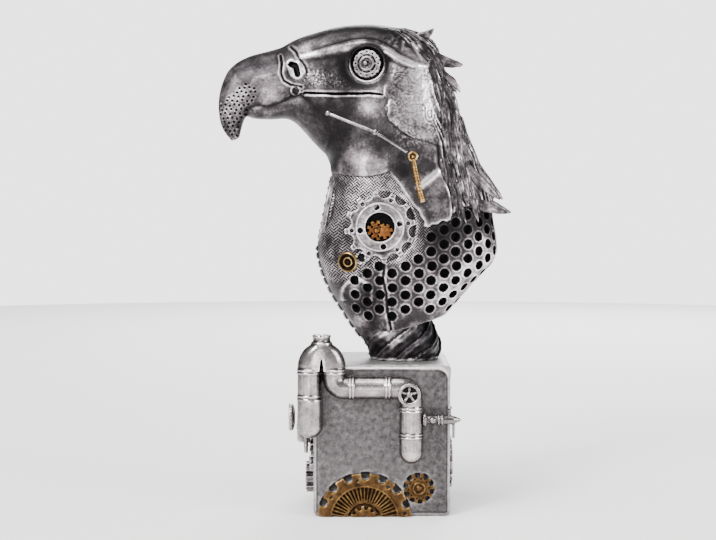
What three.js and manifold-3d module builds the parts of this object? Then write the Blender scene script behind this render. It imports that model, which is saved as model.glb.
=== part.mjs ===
// A steampunk eagle figurine: a cast eagle bust on a square plinth, dressed with pipes, gears and portholes.
// Millimetres, +Z up. The origin is the centre of the plinth's underside. The beak points to -X,
// so the eagle's left side faces -Y.
import * as THREE from "three";
import { RoundedBoxGeometry } from "three/addons/geometries/RoundedBoxGeometry.js";
import { mergeVertices } from "three/addons/utils/BufferGeometryUtils.js";
import Module from "manifold-3d";

const wasm = await Module();
wasm.setup();

// Driving dimensions
const bustHeight = 201; // plinth top to crown; the bust's outline below is drawn at this size
const plinthWidth = 82;
const plinthDepth = 78;
const plinthHeight = 90;
const plinthEdge = 3.5; // rounding of the plinth's edges
const panelBorder = 1.8; // border around the shallow panel on each side of the plinth
const panelCorner = 7;
const panelInset = 0.8;
const clearance = 0.3; // between pieces that touch

// Pipes on the plinth
const pipeRadius = 6.2;
const pipeStandoff = 4.6; // plinth face to the pipe's axis
const pipeBend = 6.6;
const collarRadius = 6.8;
const collarLength = 2.4;
const runHeight = 79; // height of the level run's axis
const legOverhang = 1.6; // the plinth's end to the axis of the free leg
const legX = -plinthWidth / 2 - legOverhang;
const legSpacing = 14.5; // to the leg that turns into the level run
const innerLegX = legX + legSpacing;
const archFoot = 87; // where the arch begins
const archTop = 103.2;
const capRadius = 5;
const capHeight = 5.2;
const sideRunOverhang = 4; // the plinth's end to the axis of the run along it
const sideRunX = -plinthWidth / 2 - sideRunOverhang;
const sideRunHeight = 55;
const sideRunEnd = 10;
const sideRunDrop = 18; // how far the run turns down at its end
const dropX = 17; // the drop pipe's axis
const dropFoot = 34;
const drainRadius = 1.25;
const drainOverhang = 4.4;
const drainAt = { x: -plinthWidth / 2 - drainOverhang, y: -18 };
const wheelRadius = 6.7;
const wheelDepth = 3.6;
const wheelOnBend = { x: -1.3, z: -4.8 }; // the front wheel's centre from the corner of the drop pipe
const sideWheelRadius = 8.2;
const sideWheelAt = { y: -20, rise: 3.5 }; // its centre, above the side run's axis
const tapHeight = 58.2;
const tapRadius = 2.7;
const tapEnd = plinthWidth / 2 + 5.5; // how far the tap's tip reaches to the side

// Gears
const gearThickness = 2.6;
const halfGear = { x: -10.3, height: -1.8, radius: 27.8, teeth: 16, depth: 4, turn: 0.176 };
const halfGearDish = { radius: 19.6, depth: 0.9 };
const halfGearHub = { teeth: 7, radius: 8, depth: 2, turn: 0.2 };
const halfGearFins = { count: 13, length: 13, thickness: 0.9 }; // across the dish
const smallGear = { x: 21.8, height: 17, radius: 8.7, teeth: 10, depth: 2.2, turn: 0.1 };
const sideGear = { radius: 16, teeth: 12, depth: 3.4, height: 26.5 };
const stackedGear = { radius: 9.4, teeth: 9, depth: 2.6, height: 19.5 }; // lies on the left end's gear

// Portholes on the neck, one on each side
const portholeX = -1.2;
const portholeHeight = 80.6; // above the plinth's top
const portholeSeat = 30.2; // mid-plane to the plate's seat
const plateRadius = 21;
const plateTeeth = 12;
const plateThickness = 2;
const flangeRadius = 14.6;
const flangeBore = 8.6;
const flangeThickness = 2.6;
const boltCircle = 11.8; // radius of the flange's bolt holes
const boltHoleRadius = 1.75;
const wellDepth = 4.2;
const bossRadius = 6.2;
const bossAt = { x: -20, z: 59.7 };
const chestDiscRadius = 20.5;
const chestDiscThickness = 3;
const chestDiscAt = { x: -34.4, z: 91.5, rise: 0.2 };
const chestBlockDepth = 20; // how deep the block under the disc goes into the neck

// Perforated neck sheet
const holeRadius = 2.8;
const holePitch = 8.6;
const holeDepth = 1.9;

// Faceting
const loftRings = 34;
const loftSides = 14;
const holeSides = 5;

const weld = 1e-4; // corners closer than this are one
const shellThickness = 2; // the head's shell over the neck
const k = bustHeight / 201; // the bust's outline is scaled as one

// Solids and geometries

function solidOf(geometry) {
  const bare = geometry.index ? geometry.toNonIndexed() : geometry.clone();
  const only = new THREE.BufferGeometry().setAttribute("position", bare.getAttribute("position"));
  const merged = mergeVertices(only, weld);
  return new wasm.Manifold(
    new wasm.Mesh({
      numProp: 3,
      vertProperties: new Float32Array(merged.attributes.position.array),
      triVerts: new Uint32Array(merged.index.array),
    }),
  );
}

function geometryOf(solid) {
  const mesh = solid.getMesh();
  const geometry = new THREE.BufferGeometry();
  geometry.setAttribute("position", new THREE.BufferAttribute(new Float32Array(mesh.vertProperties), 3));
  geometry.setIndex(new THREE.BufferAttribute(new Uint32Array(mesh.triVerts), 1));
  const loose = geometry.toNonIndexed();
  loose.computeVertexNormals();
  return loose;
}

function union(solids) {
  return solids.reduce((sum, solid) => sum.add(solid));
}

// The mirror image of a solid in the eagle's mid-plane
function mirrored(solid) {
  return solidOf(flipped(mergeVertices(barePositions(geometryOf(solid).scale(1, -1, 1)), weld)));
}

// Smooth interpolation through rows of numbers, at t counted in rows
function rowAt(rows, t) {
  const last = rows.length - 1;
  const i = Math.min(Math.max(Math.floor(t), 0), last - 1);
  const f = t - i;
  const pick = (n) => rows[Math.min(Math.max(n, 0), last)];
  const [a, b, c, d] = [pick(i - 1), pick(i), pick(i + 1), pick(i + 2)];
  return b.map((_, n) => {
    const slopeB = (c[n] - a[n]) / 2;
    const slopeC = (d[n] - b[n]) / 2;
    const rise = c[n] - b[n];
    return b[n] + f * (slopeB + f * (3 * rise - 2 * slopeB - slopeC + f * (slopeB + slopeC - 2 * rise)));
  });
}

// Closes rings of points, each an array of Vector3, into a skin with a flat cap at each end
function skin(rings) {
  const sides = rings[0].length;
  const points = rings.flat();
  const index = [];
  const middle = (ring) =>
    ring.reduce((sum, p) => sum.add(p), new THREE.Vector3()).divideScalar(sides);
  rings.slice(1).forEach((_, r) => {
    for (let j = 0; j < sides; j++) {
      const next = (j + 1) % sides;
      const [a, b] = [r * sides + j, r * sides + next];
      index.push(a, b, a + sides, b, b + sides, a + sides);
    }
  });
  const [first, end] = [points.length, points.length + 1];
  const lastRing = (rings.length - 1) * sides;
  points.push(middle(rings[0]), middle(rings[rings.length - 1]));
  for (let j = 0; j < sides; j++) {
    const next = (j + 1) % sides;
    index.push(first, next, j, end, lastRing + j, lastRing + next);
  }
  const geometry = new THREE.BufferGeometry().setFromPoints(points);
  geometry.setIndex(index);
  const solid = solidOf(geometry);
  return solid.volume() < 0 ? solidOf(flipped(geometry)) : solid;
}

function flipped(geometry) {
  const turned = geometry.clone();
  const index = Array.from(geometry.index.array);
  for (let i = 0; i < index.length; i += 3) [index[i + 1], index[i + 2]] = [index[i + 2], index[i + 1]];
  turned.setIndex(index);
  return turned;
}

const signedPower = (v, e) => Math.sign(v) * Math.abs(v) ** e;

// One section of the bust: [outer x, outer z, inner x, inner z, half-width, fullness, lean].
// Outer is the crown and nape line, inner the beak's edge, throat and chest line.
function section(row, sides, grow = 0) {
  const [ox, oz, ix, iz, halfWidth, fullness, lean] = row;
  const half = Math.hypot(ox - ix, oz - iz) / 2;
  const stretch = (half + grow * 0.6) / half;
  return Array.from({ length: sides }, (_, j) => {
    const angle = (2 * Math.PI * j) / sides;
    const along = signedPower(Math.cos(angle), 2 / fullness);
    const across = signedPower(Math.sin(angle), 2 / fullness);
    const t = (along + lean * (1 - along * along)) * stretch;
    return new THREE.Vector3(
      k * ((ox + ix) / 2 + ((ox - ix) / 2) * t),
      k * (halfWidth + grow) * across,
      plinthHeight + clearance + k * ((oz + iz) / 2 + ((oz - iz) / 2) * t),
    );
  });
}

function loft(rows, ringCount, sides, grow = 0) {
  const rings = [];
  for (let r = 0; r <= ringCount; r++) {
    rings.push(section(rowAt(rows, (r / ringCount) * (rows.length - 1)), sides, grow));
  }
  return skin(rings);
}

// A bar of changing radius through points [x, y, z, radius], longer at both ends by overrun
// and thinner from front to back by flatness
function taperedBar(rows, steps, sides, overrun = 0, flatness = 1) {
  const rings = [];
  for (let r = 0; r <= steps; r++) {
    const t = (r / steps) * (rows.length - 1);
    const [x, y, z, radius] = rowAt(rows, t);
    const [x0, y0, z0] = rowAt(rows, Math.max(t - 0.05, 0));
    const [x1, y1, z1] = rowAt(rows, Math.min(t + 0.05, rows.length - 1));
    const ahead = new THREE.Vector3(x1 - x0, y1 - y0, z1 - z0).normalize();
    const across = new THREE.Vector3(0, 1, 0).cross(ahead).normalize();
    const up = ahead.clone().cross(across);
    const over = r === 0 ? -overrun : r === steps ? overrun : 0;
    const centre = new THREE.Vector3(x, y, z).addScaledVector(ahead, over);
    rings.push(
      Array.from({ length: sides }, (_, j) => {
        const angle = (2 * Math.PI * j) / sides;
        return centre
          .clone()
          .addScaledVector(across, radius * Math.cos(angle))
          .addScaledVector(up, flatness * radius * Math.sin(angle));
      }),
    );
  }
  return skin(rings);
}

// A turned piece about the y axis, its profile [radius, distance out] from the axis and back to it,
// set where place puts it
function turned(profile, sides, place) {
  const points = profile.map(([radius, out]) => new THREE.Vector2(radius, out));
  const geometry = new THREE.LatheGeometry(points, sides);
  geometry.applyMatrix4(place);
  const solid = solidOf(geometry);
  return solid.volume() < 0 ? solidOf(flipped(mergeVertices(barePositions(geometry), weld))) : solid;
}

function barePositions(geometry) {
  const bare = geometry.clone();
  bare.deleteAttribute("normal");
  bare.deleteAttribute("uv");
  return bare;
}

// A frame at a point: +Y along a direction, and a drawing's upward direction as near to world up as it goes
function facing(point, direction) {
  const out = direction.clone().normalize();
  const up = Math.abs(out.z) > 0.95 ? new THREE.Vector3(1, 0, 0) : new THREE.Vector3(0, 0, 1);
  const across = up.cross(out).normalize();
  return new THREE.Matrix4().makeBasis(across, out, across.clone().cross(out)).setPosition(point);
}

// The bust's sections, from the beak's tip over the crown and down the neck
const headAndNeck = [
  [-89.6, 132.2, -87.4, 133.2, 1.0, 2.0, 0],
  [-94.4, 138.4, -85.4, 140.8, 2.8, 2.0, 0],
  [-97.0, 146.2, -83.6, 145.6, 4.4, 2.1, 0],
  [-97.6, 154.8, -81.1, 149.9, 6.0, 2.1, -0.1],
  [-96.0, 163.9, -77.5, 152.0, 7.8, 2.2, -0.2],
  [-92.6, 172.1, -72.6, 152.6, 9.4, 2.2, -0.25],
  [-87.2, 177.9, -67.1, 150.5, 10.8, 2.2, -0.25],
  [-79.9, 181.6, -61.6, 151.0, 12.2, 2.2, -0.2],
  [-72.6, 183.7, -57.4, 152.0, 13.4, 2.2, -0.15],
  [-65.3, 185.5, -53.7, 153.0, 14.4, 2.3, -0.1],
  [-59.8, 187.3, -50.0, 152.5, 15.2, 2.3, 0],
  [-54.9, 190.1, -47.0, 149.5, 16.2, 2.4, 0],
  [-48.2, 193.1, -43.4, 143.8, 17.4, 2.4, 0.1],
  [-39.7, 195.9, -38.5, 132.2, 18.8, 2.3, 0.1],
  [-30.0, 198.7, -34.2, 126.1, 20.2, 2.3, 0.1],
  [-19.0, 200.5, -31.2, 120.0, 21.6, 2.3, 0.1],
  [-6.8, 201.0, -30.3, 114.6, 23.0, 2.3, 0.08],
  [6.6, 199.5, -30.6, 109.7, 24.4, 2.3, 0.05],
  [18.8, 196.8, -31.2, 104.8, 25.6, 2.3, 0],
  [29.7, 191.3, -31.8, 100.0, 26.6, 2.3, 0],
  [35.2, 181.6, -33.0, 93.9, 27.6, 2.3, 0],
  [38.2, 170.6, -34.8, 86.6, 28.6, 2.4, 0],
  [41.9, 159.6, -36.7, 79.2, 29.6, 2.4, 0],
  [46.8, 146.2, -38.5, 72.5, 30.4, 2.5, 0],
  [52.3, 132.8, -38.5, 65.9, 31.0, 2.5, 0],
  [57.1, 120.7, -37.3, 58.5, 31.4, 2.5, 0],
  [62.6, 108.5, -35.4, 51.8, 31.4, 2.5, 0],
  [66.3, 96.3, -33.0, 45.8, 31.2, 2.5, 0],
  [68.1, 84.1, -30.0, 39.7, 30.8, 2.5, 0],
  [69.9, 71.9, -26.3, 33.6, 30.0, 2.5, 0],
  [69.5, 62.0, -22.7, 28.1, 29.0, 2.5, 0],
  [64.0, 54.6, -19.6, 23.2, 27.8, 2.5, 0],
  [55.5, 45.5, -16.6, 19.0, 26.4, 2.5, 0],
  [47.0, 35.6, -13.5, 15.0, 24.4, 2.5, 0],
  [39.5, 27.0, -10.5, 12.0, 22.0, 2.4, 0],
];

// The lower beak and jaw: outer lies inside the upper beak, inner is the chin and throat line
const jaw = [
  [-83.5, 151.0, -81.9, 147.4, 2.5, 2.2, 0],
  [-79.3, 153.5, -76.9, 145.8, 6.4, 2.3, 0],
  [-70.8, 156.0, -67.7, 145.3, 9.0, 2.4, 0],
  [-60.4, 159.0, -58.0, 145.9, 11.4, 2.4, 0],
  [-50.7, 164.0, -51.9, 143.2, 14.4, 2.4, 0],
  [-40.3, 168.0, -46.4, 137.7, 17.0, 2.4, 0],
  [-28.1, 170.0, -39.7, 130.4, 18.6, 2.4, 0],
  [-16.0, 168.0, -34.2, 124.9, 19.2, 2.4, 0],
];

// The foot, a roll of wrapped sheet that the neck stands on
const foot = [
  [35.0, 0.0, -7.0, 0.0, 21.0, 2.4, 0],
  [36.8, 6.0, -8.0, 6.0, 22.4, 2.4, 0],
  [34.8, 14.0, -12.0, 13.0, 22.4, 2.4, 0],
  [30.5, 24.0, -16.0, 20.0, 21.4, 2.4, 0],
  [28.0, 36.0, -20.0, 30.0, 19.0, 2.4, 0],
];

// Side outline of the head's shell: throat line, front edge, torn lower edge, then round the head
const shellOutline = [
  [-40, 117.5], [-19, 115.0], [-5.6, 114.3], [4.1, 116.4], [8.5, 108], [13.3, 100.5],
  [18.8, 92.5], [23.6, 86.5], [26, 80.5], [29.7, 82.3], [35.8, 84.1], [40.1, 84.7],
  [42.5, 90.8], [45.6, 93.3], [51.6, 92.6], [57.1, 91.4], [62.6, 93.3], [75, 92],
  [90, 140], [60, 215], [-60, 215], [-120, 190], [-120, 120], [-60, 120],
];

// Lines carved on the head, as side positions [x, height above the plinth]
const browLine = [
  [-50, 181.5, 1.6], [-35.6, 184.3, 2.8], [-23.7, 187.2, 3.6], [-14, 188.6, 4], [-5, 188, 4],
  [2.6, 184.6, 3.6], [10, 180.2, 3], [19.3, 176.8, 2.2], [29, 175.3, 1.2],
];
const mouthLine = [
  [-82, 151.2], [-72.6, 152.4], [-67, 153.2], [-61.6, 154.8], [-57.4, 156.8], [-53.7, 159], [-50, 160],
  [-46, 160], [-39.9, 159.8], [-27.9, 159.2], [-15.9, 159.2], [-6.9, 159.4], [0, 158.6],
];
const gapeStart = 7; // the mouth line's point where the beak's free edge ends
const cereLine = [
  [-60.5, 182.2], [-59.6, 177.7], [-60.1, 171.7], [-58.2, 167.3], [-54, 164.9], [-47.8, 163.6],
];
const nostrilLine = [[-54, 177], [-51, 175.8], [-49.9, 171.2]];
const eyeAt = { x: -9, z: 177 };
const eyeSocketRadius = 11;
const irisRadius = 7.8;

// The control rod and the brass lever that lie along the cheek
const rodRadius = 1.1;
const rodLine = [[-32, 147.9], [-17.7, 141.9], [-4, 136.2], [6.8, 129.6], [14.6, 124.6]];
const leverRingRadius = 3.2;
const leverRingAt = { x: 18.1, z: 122 };
// Its points [x, z, width], measured from the ring
const leverLine = [[0.3, -1.5, 1.4], [0.9, -5, 1.5], [2.4, -12.3, 1.6], [4.2, -20.7, 1.7], [6, -26.7, 1.8]];

// Free tips of the plumage: [x, z] from root to tip, root width, and the places across the nape
const tufts = [
  { line: [[14, 193], [26, 195], [32, 199.5]], wide: 5, across: [-5, 4] },
  { line: [[29, 185], [40, 179.5], [49.5, 177.6]], wide: 5, across: [-10, 0, 10] },
  { line: [[36, 170], [42.5, 158], [47.5, 147]], wide: 5.4, across: [-16, -5, 6, 16] },
  { line: [[44, 144], [51.5, 130], [58.5, 118]], wide: 6, across: [-20, -8, 7, 20] },
  { line: [[54, 121], [64, 107], [74, 96.5]], wide: 6.4, across: [-15, 0, 15] },
  { line: [[58, 98], [69, 92], [79, 88.4]], wide: 6, across: [-21, -8, 8, 21] },
];

const bustBase = plinthHeight + clearance;
const place = (x, z) => [k * x, bustBase + k * z];
const both = (solid) => [solid, mirrored(solid)];

// A side outline given at the bust's drawn size, as a slab right through the bust
function sideSlab(outline) {
  const shape = new THREE.Shape(outline.map(([x, z]) => new THREE.Vector2(...place(x, z))));
  const width = 100 * k;
  const slab = new THREE.ExtrudeGeometry(shape, { depth: width, bevelEnabled: false });
  slab.rotateX(Math.PI / 2);
  slab.translate(0, width / 2, 0);
  return solidOf(slab);
}

function headShell() {
  return loft(headAndNeck, loftRings, loftSides, shellThickness).intersect(sideSlab(shellOutline));
}

// What lies below the beak's free edge, which ends flat there
function underBeak() {
  const edge = mouthLine.slice(0, gapeStart + 1);
  return sideSlab([...edge, [edge[gapeStart][0], 140], [-81, 145], [-83, 149.5]]);
}

// Finds a surface: the point and the outward direction, seen from one side
function surfaceFinder(solid) {
  const mesh = new THREE.Mesh(geometryOf(solid));
  const ray = new THREE.Raycaster();
  return (x, z, from = new THREE.Vector3(0, -1, 0)) => {
    const [px, pz] = place(x, z);
    const start = new THREE.Vector3(px, 0, pz).addScaledVector(from, 200);
    ray.set(start, from.clone().negate());
    const [hit] = ray.intersectObject(mesh);
    return hit ? { point: hit.point, normal: hit.face.normal.clone() } : null;
  };
}

// A bar that follows the left side's surface through [x, z, radius], its axis sunk by a share of the radius
function surfaceBar(find, line, radius, sink, steps = 9, sides = 4, more = 0) {
  const rows = line.map(([x, z, own]) => {
    const { point, normal } = find(x, z);
    const r = k * (own ?? radius);
    const axis = point.clone().addScaledVector(normal, -sink * r);
    return [axis.x, axis.y, axis.z, r + more];
  });
  return taperedBar(rows, steps, sides, more);
}

function plumage() {
  return tufts.flatMap(({ line, wide, across }) =>
    across.map((y) => {
      const rows = line.map(([x, z], i) => {
        const [px, pz] = place(x - y ** 2 / (i + 1) / 45, z);
        return [px, k * y, pz, k * wide * (1 - 0.45 * i)];
      });
      return taperedBar(rows, 3, 4, 0, 0.45);
    }),
  );
}

function eye(find) {
  const { point } = find(eyeAt.x, eyeAt.z);
  const gaze = new THREE.Vector3(-0.22, -1, 0.04);
  const seat = point.clone().addScaledVector(gaze.clone().normalize(), k * 1.2);
  const r = k * irisRadius;
  const ball = [
    [0, -9], [1.25 * r, -9], [1.25 * r, -3], [r, -2.4], [r, -1], [0.56 * r, -0.6], [0.5 * r, -1.8],
    [0.36 * r, -0.2], [0.2 * r, 0], [0.16 * r, -1.2], [0, -1.2],
  ];
  const socket = [
    [0, -6], [0.98 * k * eyeSocketRadius, -6], [1.12 * k * eyeSocketRadius, 4],
    [1.3 * k * eyeSocketRadius, 14], [0, 14],
  ];
  return {
    ball: turned(ball, 14, facing(seat, gaze)),
    socket: turned(socket, 12, facing(seat, gaze)),
  };
}

// The perforated sheet's side outline, torn along its edges
const perforatedOutline = [
  [-3, 58], [12, 58], [24, 64], [27, 77], [36, 81], [41.5, 82], [44, 89], [52, 89], [58, 88], [64, 90],
  [80, 89], [80, 64], [68, 57.5], [59, 50], [50, 41], [43, 32.5], [36, 29], [2, 25], [-7, 22], [-15, 26],
  [-20, 36], [-20, 47], [-14, 51], [-8, 55],
];
const holesFrom = 23; // height of the lowest row of holes
const sheetCentreX = 14;

function inOutline(outline, x, z) {
  let inside = false;
  outline.forEach(([x1, z1], i) => {
    const [x2, z2] = outline[(i + 1) % outline.length];
    if (z1 > z !== z2 > z && x < ((x2 - x1) * (z - z1)) / (z2 - z1) + x1) inside = !inside;
  });
  return inside;
}

// The left side's holes, in staggered columns: rows half a pitch apart, each walked both ways from the
// middle of the side along the surface
function perforation(find) {
  const drills = [];
  const rowStep = holePitch / 2;
  const apart = holePitch * Math.sqrt(3);
  for (let row = 0; row * rowStep < 70; row++) {
    const z = holesFrom + row * rowStep;
    const first = row % 2 ? apart / 2 : 0;
    [-1, 1].forEach((way) => {
      let next = way > 0 && first === 0 ? apart : first;
      let walked = 0;
      let before = null;
      for (let degrees = 90; degrees > 0 && degrees < 180; degrees += 1.25 * way) {
        const angle = THREE.MathUtils.degToRad(degrees);
        const hit = find(sheetCentreX, z, new THREE.Vector3(Math.cos(angle), -Math.sin(angle), 0));
        if (!hit) continue;
        if (before) walked += hit.point.distanceTo(before) / k;
        before = hit.point;
        if (walked < next) continue;
        next += apart;
        const clearOfMiddle = hit.point.y < -k * holeRadius * 0.9;
        if (clearOfMiddle && inOutline(perforatedOutline, hit.point.x / k, z)) drills.push(drill(hit));
      }
    });
  }
  return drills;
}

function drill({ point, normal }) {
  const [r, depth] = [k * holeRadius, k * holeDepth];
  const bit = new THREE.CylinderGeometry(r, r, 3 * depth, holeSides);
  bit.translate(0, depth / 2, 0);
  bit.applyMatrix4(facing(point, normal));
  return solidOf(bit);
}

// Gears and plates

function ring(count, radius, offset = 0) {
  return Array.from({ length: count }, (_, i) => {
    const angle = offset + (2 * Math.PI * i) / count;
    return [radius * Math.cos(angle), radius * Math.sin(angle)];
  });
}

const points = (pairs, x = 0, y = 0) => pairs.map(([u, v]) => new THREE.Vector2(x + u, y + v));
const circle = (radius, sides) => points(ring(sides, radius));

// The outline of a gear whose gaps between the teeth are round bites
function gearOutline({ teeth, radius, depth, turn = 0, x = 0, y = 0 }) {
  const half = Math.PI / teeth;
  const tooth = [[-0.42, 0], [0.42, 0], [0.74, 0.92], [1.26, 0.92]];
  return Array.from({ length: teeth }, (_, i) =>
    tooth.map(([share, deep]) => {
      const angle = turn + half * (2 * i + share);
      const r = radius - deep * depth;
      return new THREE.Vector2(x + r * Math.cos(angle), y + r * Math.sin(angle));
    }),
  ).flat();
}

// A flat plate with round holes [x, y, radius, sides], its face turned towards the frame's direction
function plate(outline, thickness, frame, holes = []) {
  const shape = new THREE.Shape(outline);
  holes.forEach(([x, y, r, sides = 6]) => shape.holes.push(new THREE.Path(points(ring(sides, r), x, y))));
  const geometry = new THREE.ExtrudeGeometry(shape, { depth: thickness, bevelEnabled: false });
  geometry.rotateX(-Math.PI / 2);
  geometry.applyMatrix4(frame);
  return solidOf(geometry);
}

function frameAt([x, y, z], [dx, dy, dz], out = 0) {
  const direction = new THREE.Vector3(dx, dy, dz).normalize();
  return facing(new THREE.Vector3(x, y, z).addScaledVector(direction, out), direction);
}

// The porthole on the neck's left side

const portholeFrame = (out) => {
  const [x, z] = place(portholeX, portholeHeight);
  return frameAt([x, -k * portholeSeat, z], [0, -1, 0], out);
};

function portholePocket() {
  const sky = plate(circle(plateRadius + 2 * clearance, 20), 20, portholeFrame(0));
  const well = plate(circle(flangeBore + 0.9, 12), wellDepth + 1, portholeFrame(-wellDepth));
  return sky.add(well);
}

function portholePlate() {
  const outline = gearOutline({ teeth: plateTeeth, radius: plateRadius, depth: 4.4, turn: 0.13 });
  const holes = ring(plateTeeth / 2, 16.7, 0.13).map(([x, y]) => [x, y, 1.15, 4]);
  return plate(outline, plateThickness, portholeFrame(clearance), [[0, 0, flangeBore + 0.9, 12], ...holes]);
}

function portholeFlange() {
  const holes = ring(4, boltCircle, 0.17).map(([x, y]) => [x, y, boltHoleRadius, 6]);
  const frame = portholeFrame(2 * clearance + plateThickness);
  return plate(circle(flangeRadius, 20), flangeThickness, frame, [[0, 0, flangeBore, 14], ...holes]);
}

// The copper gears that show through the flange, one lying over the other on a shared post
function wellGears() {
  const thick = 1.2;
  const floor = clearance - wellDepth;
  const large = { teeth: 9, radius: 6, depth: 1.7, x: -1.8, y: -2.1 };
  const small = { teeth: 7, radius: 4.4, depth: 1.3, turn: 0.2, x: 3.2, y: -2.6 };
  return plate(gearOutline(large), thick + 0.2, portholeFrame(floor))
    .add(plate(gearOutline(small), thick, portholeFrame(floor + thick)))
    .add(plate(circle(1.3, 7).map((p) => p.set(p.x - 1.9, p.y - 2.2)), 2 * thick, portholeFrame(floor)));
}

// The rod and lever on the left cheek; grown by a clearance they cut their own seats
function cheekRod(find, more = 0) {
  return surfaceBar(find, rodLine, rodRadius, 0.1, 6, 5, more);
}

function cheekLever(find, more = 0) {
  const { point, normal } = find(leverRingAt.x, leverRingAt.z);
  const r = k * leverRingRadius;
  const eyelet = [
    [0, -1 - more], [r + more, -1 - more], [r + more, 0.9 + more], [0.72 * r, 1.6 + more],
    [0.5 * r, 0.6 + more], [0, 0.6 + more],
  ];
  const line = leverLine.map(([x, z, wide]) => [leverRingAt.x + x, leverRingAt.z + z, wide]);
  const bar = surfaceBar(find, line, 1.6, 0.15, 4, 6, more);
  return turned(eyelet, 10, facing(point, normal)).add(bar);
}

// The round brass boss low on the neck, facing forwards and out
function brassBoss(find, more = 0) {
  const { point, normal } = find(bossAt.x, bossAt.z);
  const r = k * bossRadius;
  const profile = [
    [0, -2 - more], [r + more, -2 - more], [r + more, 0.9 + more], [0.78 * r, 1.7 + more],
    [0.62 * r, 0.2 + more], [0.26 * r, 0.4 + more], [0, 1.4 + more],
  ];
  return turned(profile, 12, facing(point, normal));
}

// The disc on the front of the chest, and the block of the neck that it lies on
function chestFrame() {
  const [x, z] = place(chestDiscAt.x, chestDiscAt.z);
  return facing(new THREE.Vector3(x, 0, z), new THREE.Vector3(-1, 0, chestDiscAt.rise));
}

function chestDisc() {
  const [r, back] = [chestDiscRadius, -chestDiscThickness];
  const profile = [
    [0, back], [r, back], [r, -0.8], [0.93 * r, 0], [0.8 * r, 0], [0.74 * r, -0.9], [0.28 * r, -0.9],
    [0.22 * r, 0], [0, 0],
  ];
  return turned(profile, 20, chestFrame());
}

function chestSeat() {
  const [r, back] = [chestDiscRadius + clearance, -chestDiscThickness - clearance];
  return turned([[0, back], [r, back], [r, 30], [0, 30]], 20, chestFrame());
}

function chestBlock() {
  const r = chestDiscRadius;
  const back = -chestDiscThickness;
  const deep = back - chestBlockDepth;
  return turned([[0, deep], [0.5 * r, deep], [0.95 * r, back], [0, back]], 16, chestFrame());
}

// The bust, with its seats for the pieces that are fixed to it
function bustSolid() {
  const core = loft(headAndNeck, loftRings, loftSides);
  const skull = core.add(headShell()).subtract(underBeak());
  const body = union([skull, loft(jaw, 8, 10, 1), loft(foot, 4, 14), chestBlock()]);
  const find = surfaceFinder(body);
  const { ball, socket } = eye(find);
  const added = [...both(surfaceBar(find, browLine, 3, 0.35, 9, 5)), ...plumage()];
  const sunk = [
    surfaceBar(find, mouthLine.slice(gapeStart), 0.9, 0, 6),
    surfaceBar(find, cereLine, 0.8, 0.1, 5),
    surfaceBar(find, nostrilLine, 1.7, 0.1, 3, 6),
    socket,
    portholePocket(),
    cheekRod(find, clearance),
    cheekLever(find, clearance),
    brassBoss(find, clearance),
    ...perforation(surfaceFinder(core)),
  ];
  const cut = wasm.Manifold.union([...sunk.flatMap(both), chestSeat()]);
  return { bust: union([body, ...added]).subtract(cut).add(union(both(ball))), find };
}

// The plinth: a rounded block with a shallow panel on each side
function plinthSolid() {
  const block = new RoundedBoxGeometry(plinthWidth, plinthDepth, plinthHeight, 1, plinthEdge);
  block.translate(0, 0, plinthHeight / 2);
  const panels = [0, 1, 2, 3].map((quarter) => {
    const [wide, deep] = quarter % 2 ? [plinthDepth, plinthWidth] : [plinthWidth, plinthDepth];
    return solidOf(panelCut(wide, deep).rotateZ((quarter * Math.PI) / 2));
  });
  return solidOf(block).subtract(union(panels));
}

// The shallow panel on the -Y side, round at its two upper corners and open at the bottom
function panelCut(wide, deep) {
  const half = wide / 2 - panelBorder;
  const top = plinthHeight - panelBorder - 1;
  const corner = panelCorner;
  const shape = new THREE.Shape().moveTo(-half, -5).lineTo(half, -5);
  shape.absarc(half - corner, top - corner, corner, 0, Math.PI / 2, false);
  shape.absarc(corner - half, top - corner, corner, Math.PI / 2, Math.PI, false);
  const cut = new THREE.ExtrudeGeometry(shape, { depth: 5, bevelEnabled: false, curveSegments: 3 });
  cut.rotateX(Math.PI / 2);
  return cut.translate(0, -deep / 2 + panelInset, 0);
}

// Pipework

const faceY = -plinthDepth / 2;
const pipeY = faceY - pipeStandoff;

// The room that the plinth takes from a piece laid against it
function plinthRoom() {
  const [width, depth, height] = [plinthWidth, plinthDepth, plinthHeight].map((size) => size + 2 * clearance);
  const room = new THREE.BoxGeometry(width, depth, height);
  room.translate(0, 0, plinthHeight / 2);
  return solidOf(room);
}

// A pipe through corner points, its bends rounded
function bentPipe(corners, radius, bend, sides) {
  const spots = corners.map((corner) => new THREE.Vector3(...corner));
  const last = spots.length - 1;
  const stops = [{ centre: spots[0], ahead: spots[1].clone().sub(spots[0]).normalize() }];
  for (let i = 1; i < last; i++) {
    const into = spots[i].clone().sub(spots[i - 1]).normalize();
    const away = spots[i + 1].clone().sub(spots[i]).normalize();
    const curve = new THREE.QuadraticBezierCurve3(
      spots[i].clone().addScaledVector(into, -bend),
      spots[i],
      spots[i].clone().addScaledVector(away, bend),
    );
    [0, 0.35, 0.65, 1].forEach((t) => {
      stops.push({ centre: curve.getPoint(t), ahead: curve.getTangent(t) });
    });
  }
  stops.push({ centre: spots[last], ahead: spots[last].clone().sub(spots[last - 1]).normalize() });
  let side = new THREE.Vector3(0.3, 1, 0.2);
  const rings = stops.map(({ centre, ahead }) => {
    side = side.clone().addScaledVector(ahead, -side.dot(ahead)).normalize();
    const up = ahead.clone().cross(side);
    return ring(sides, radius).map(([u, v]) =>
      centre.clone().addScaledVector(side, u).addScaledVector(up, v),
    );
  });
  return skin(rings);
}

// A short turned piece on an axis
function fitting(at, direction, profile, sides = 12) {
  return turned(profile, sides, frameAt(at, direction));
}

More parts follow.
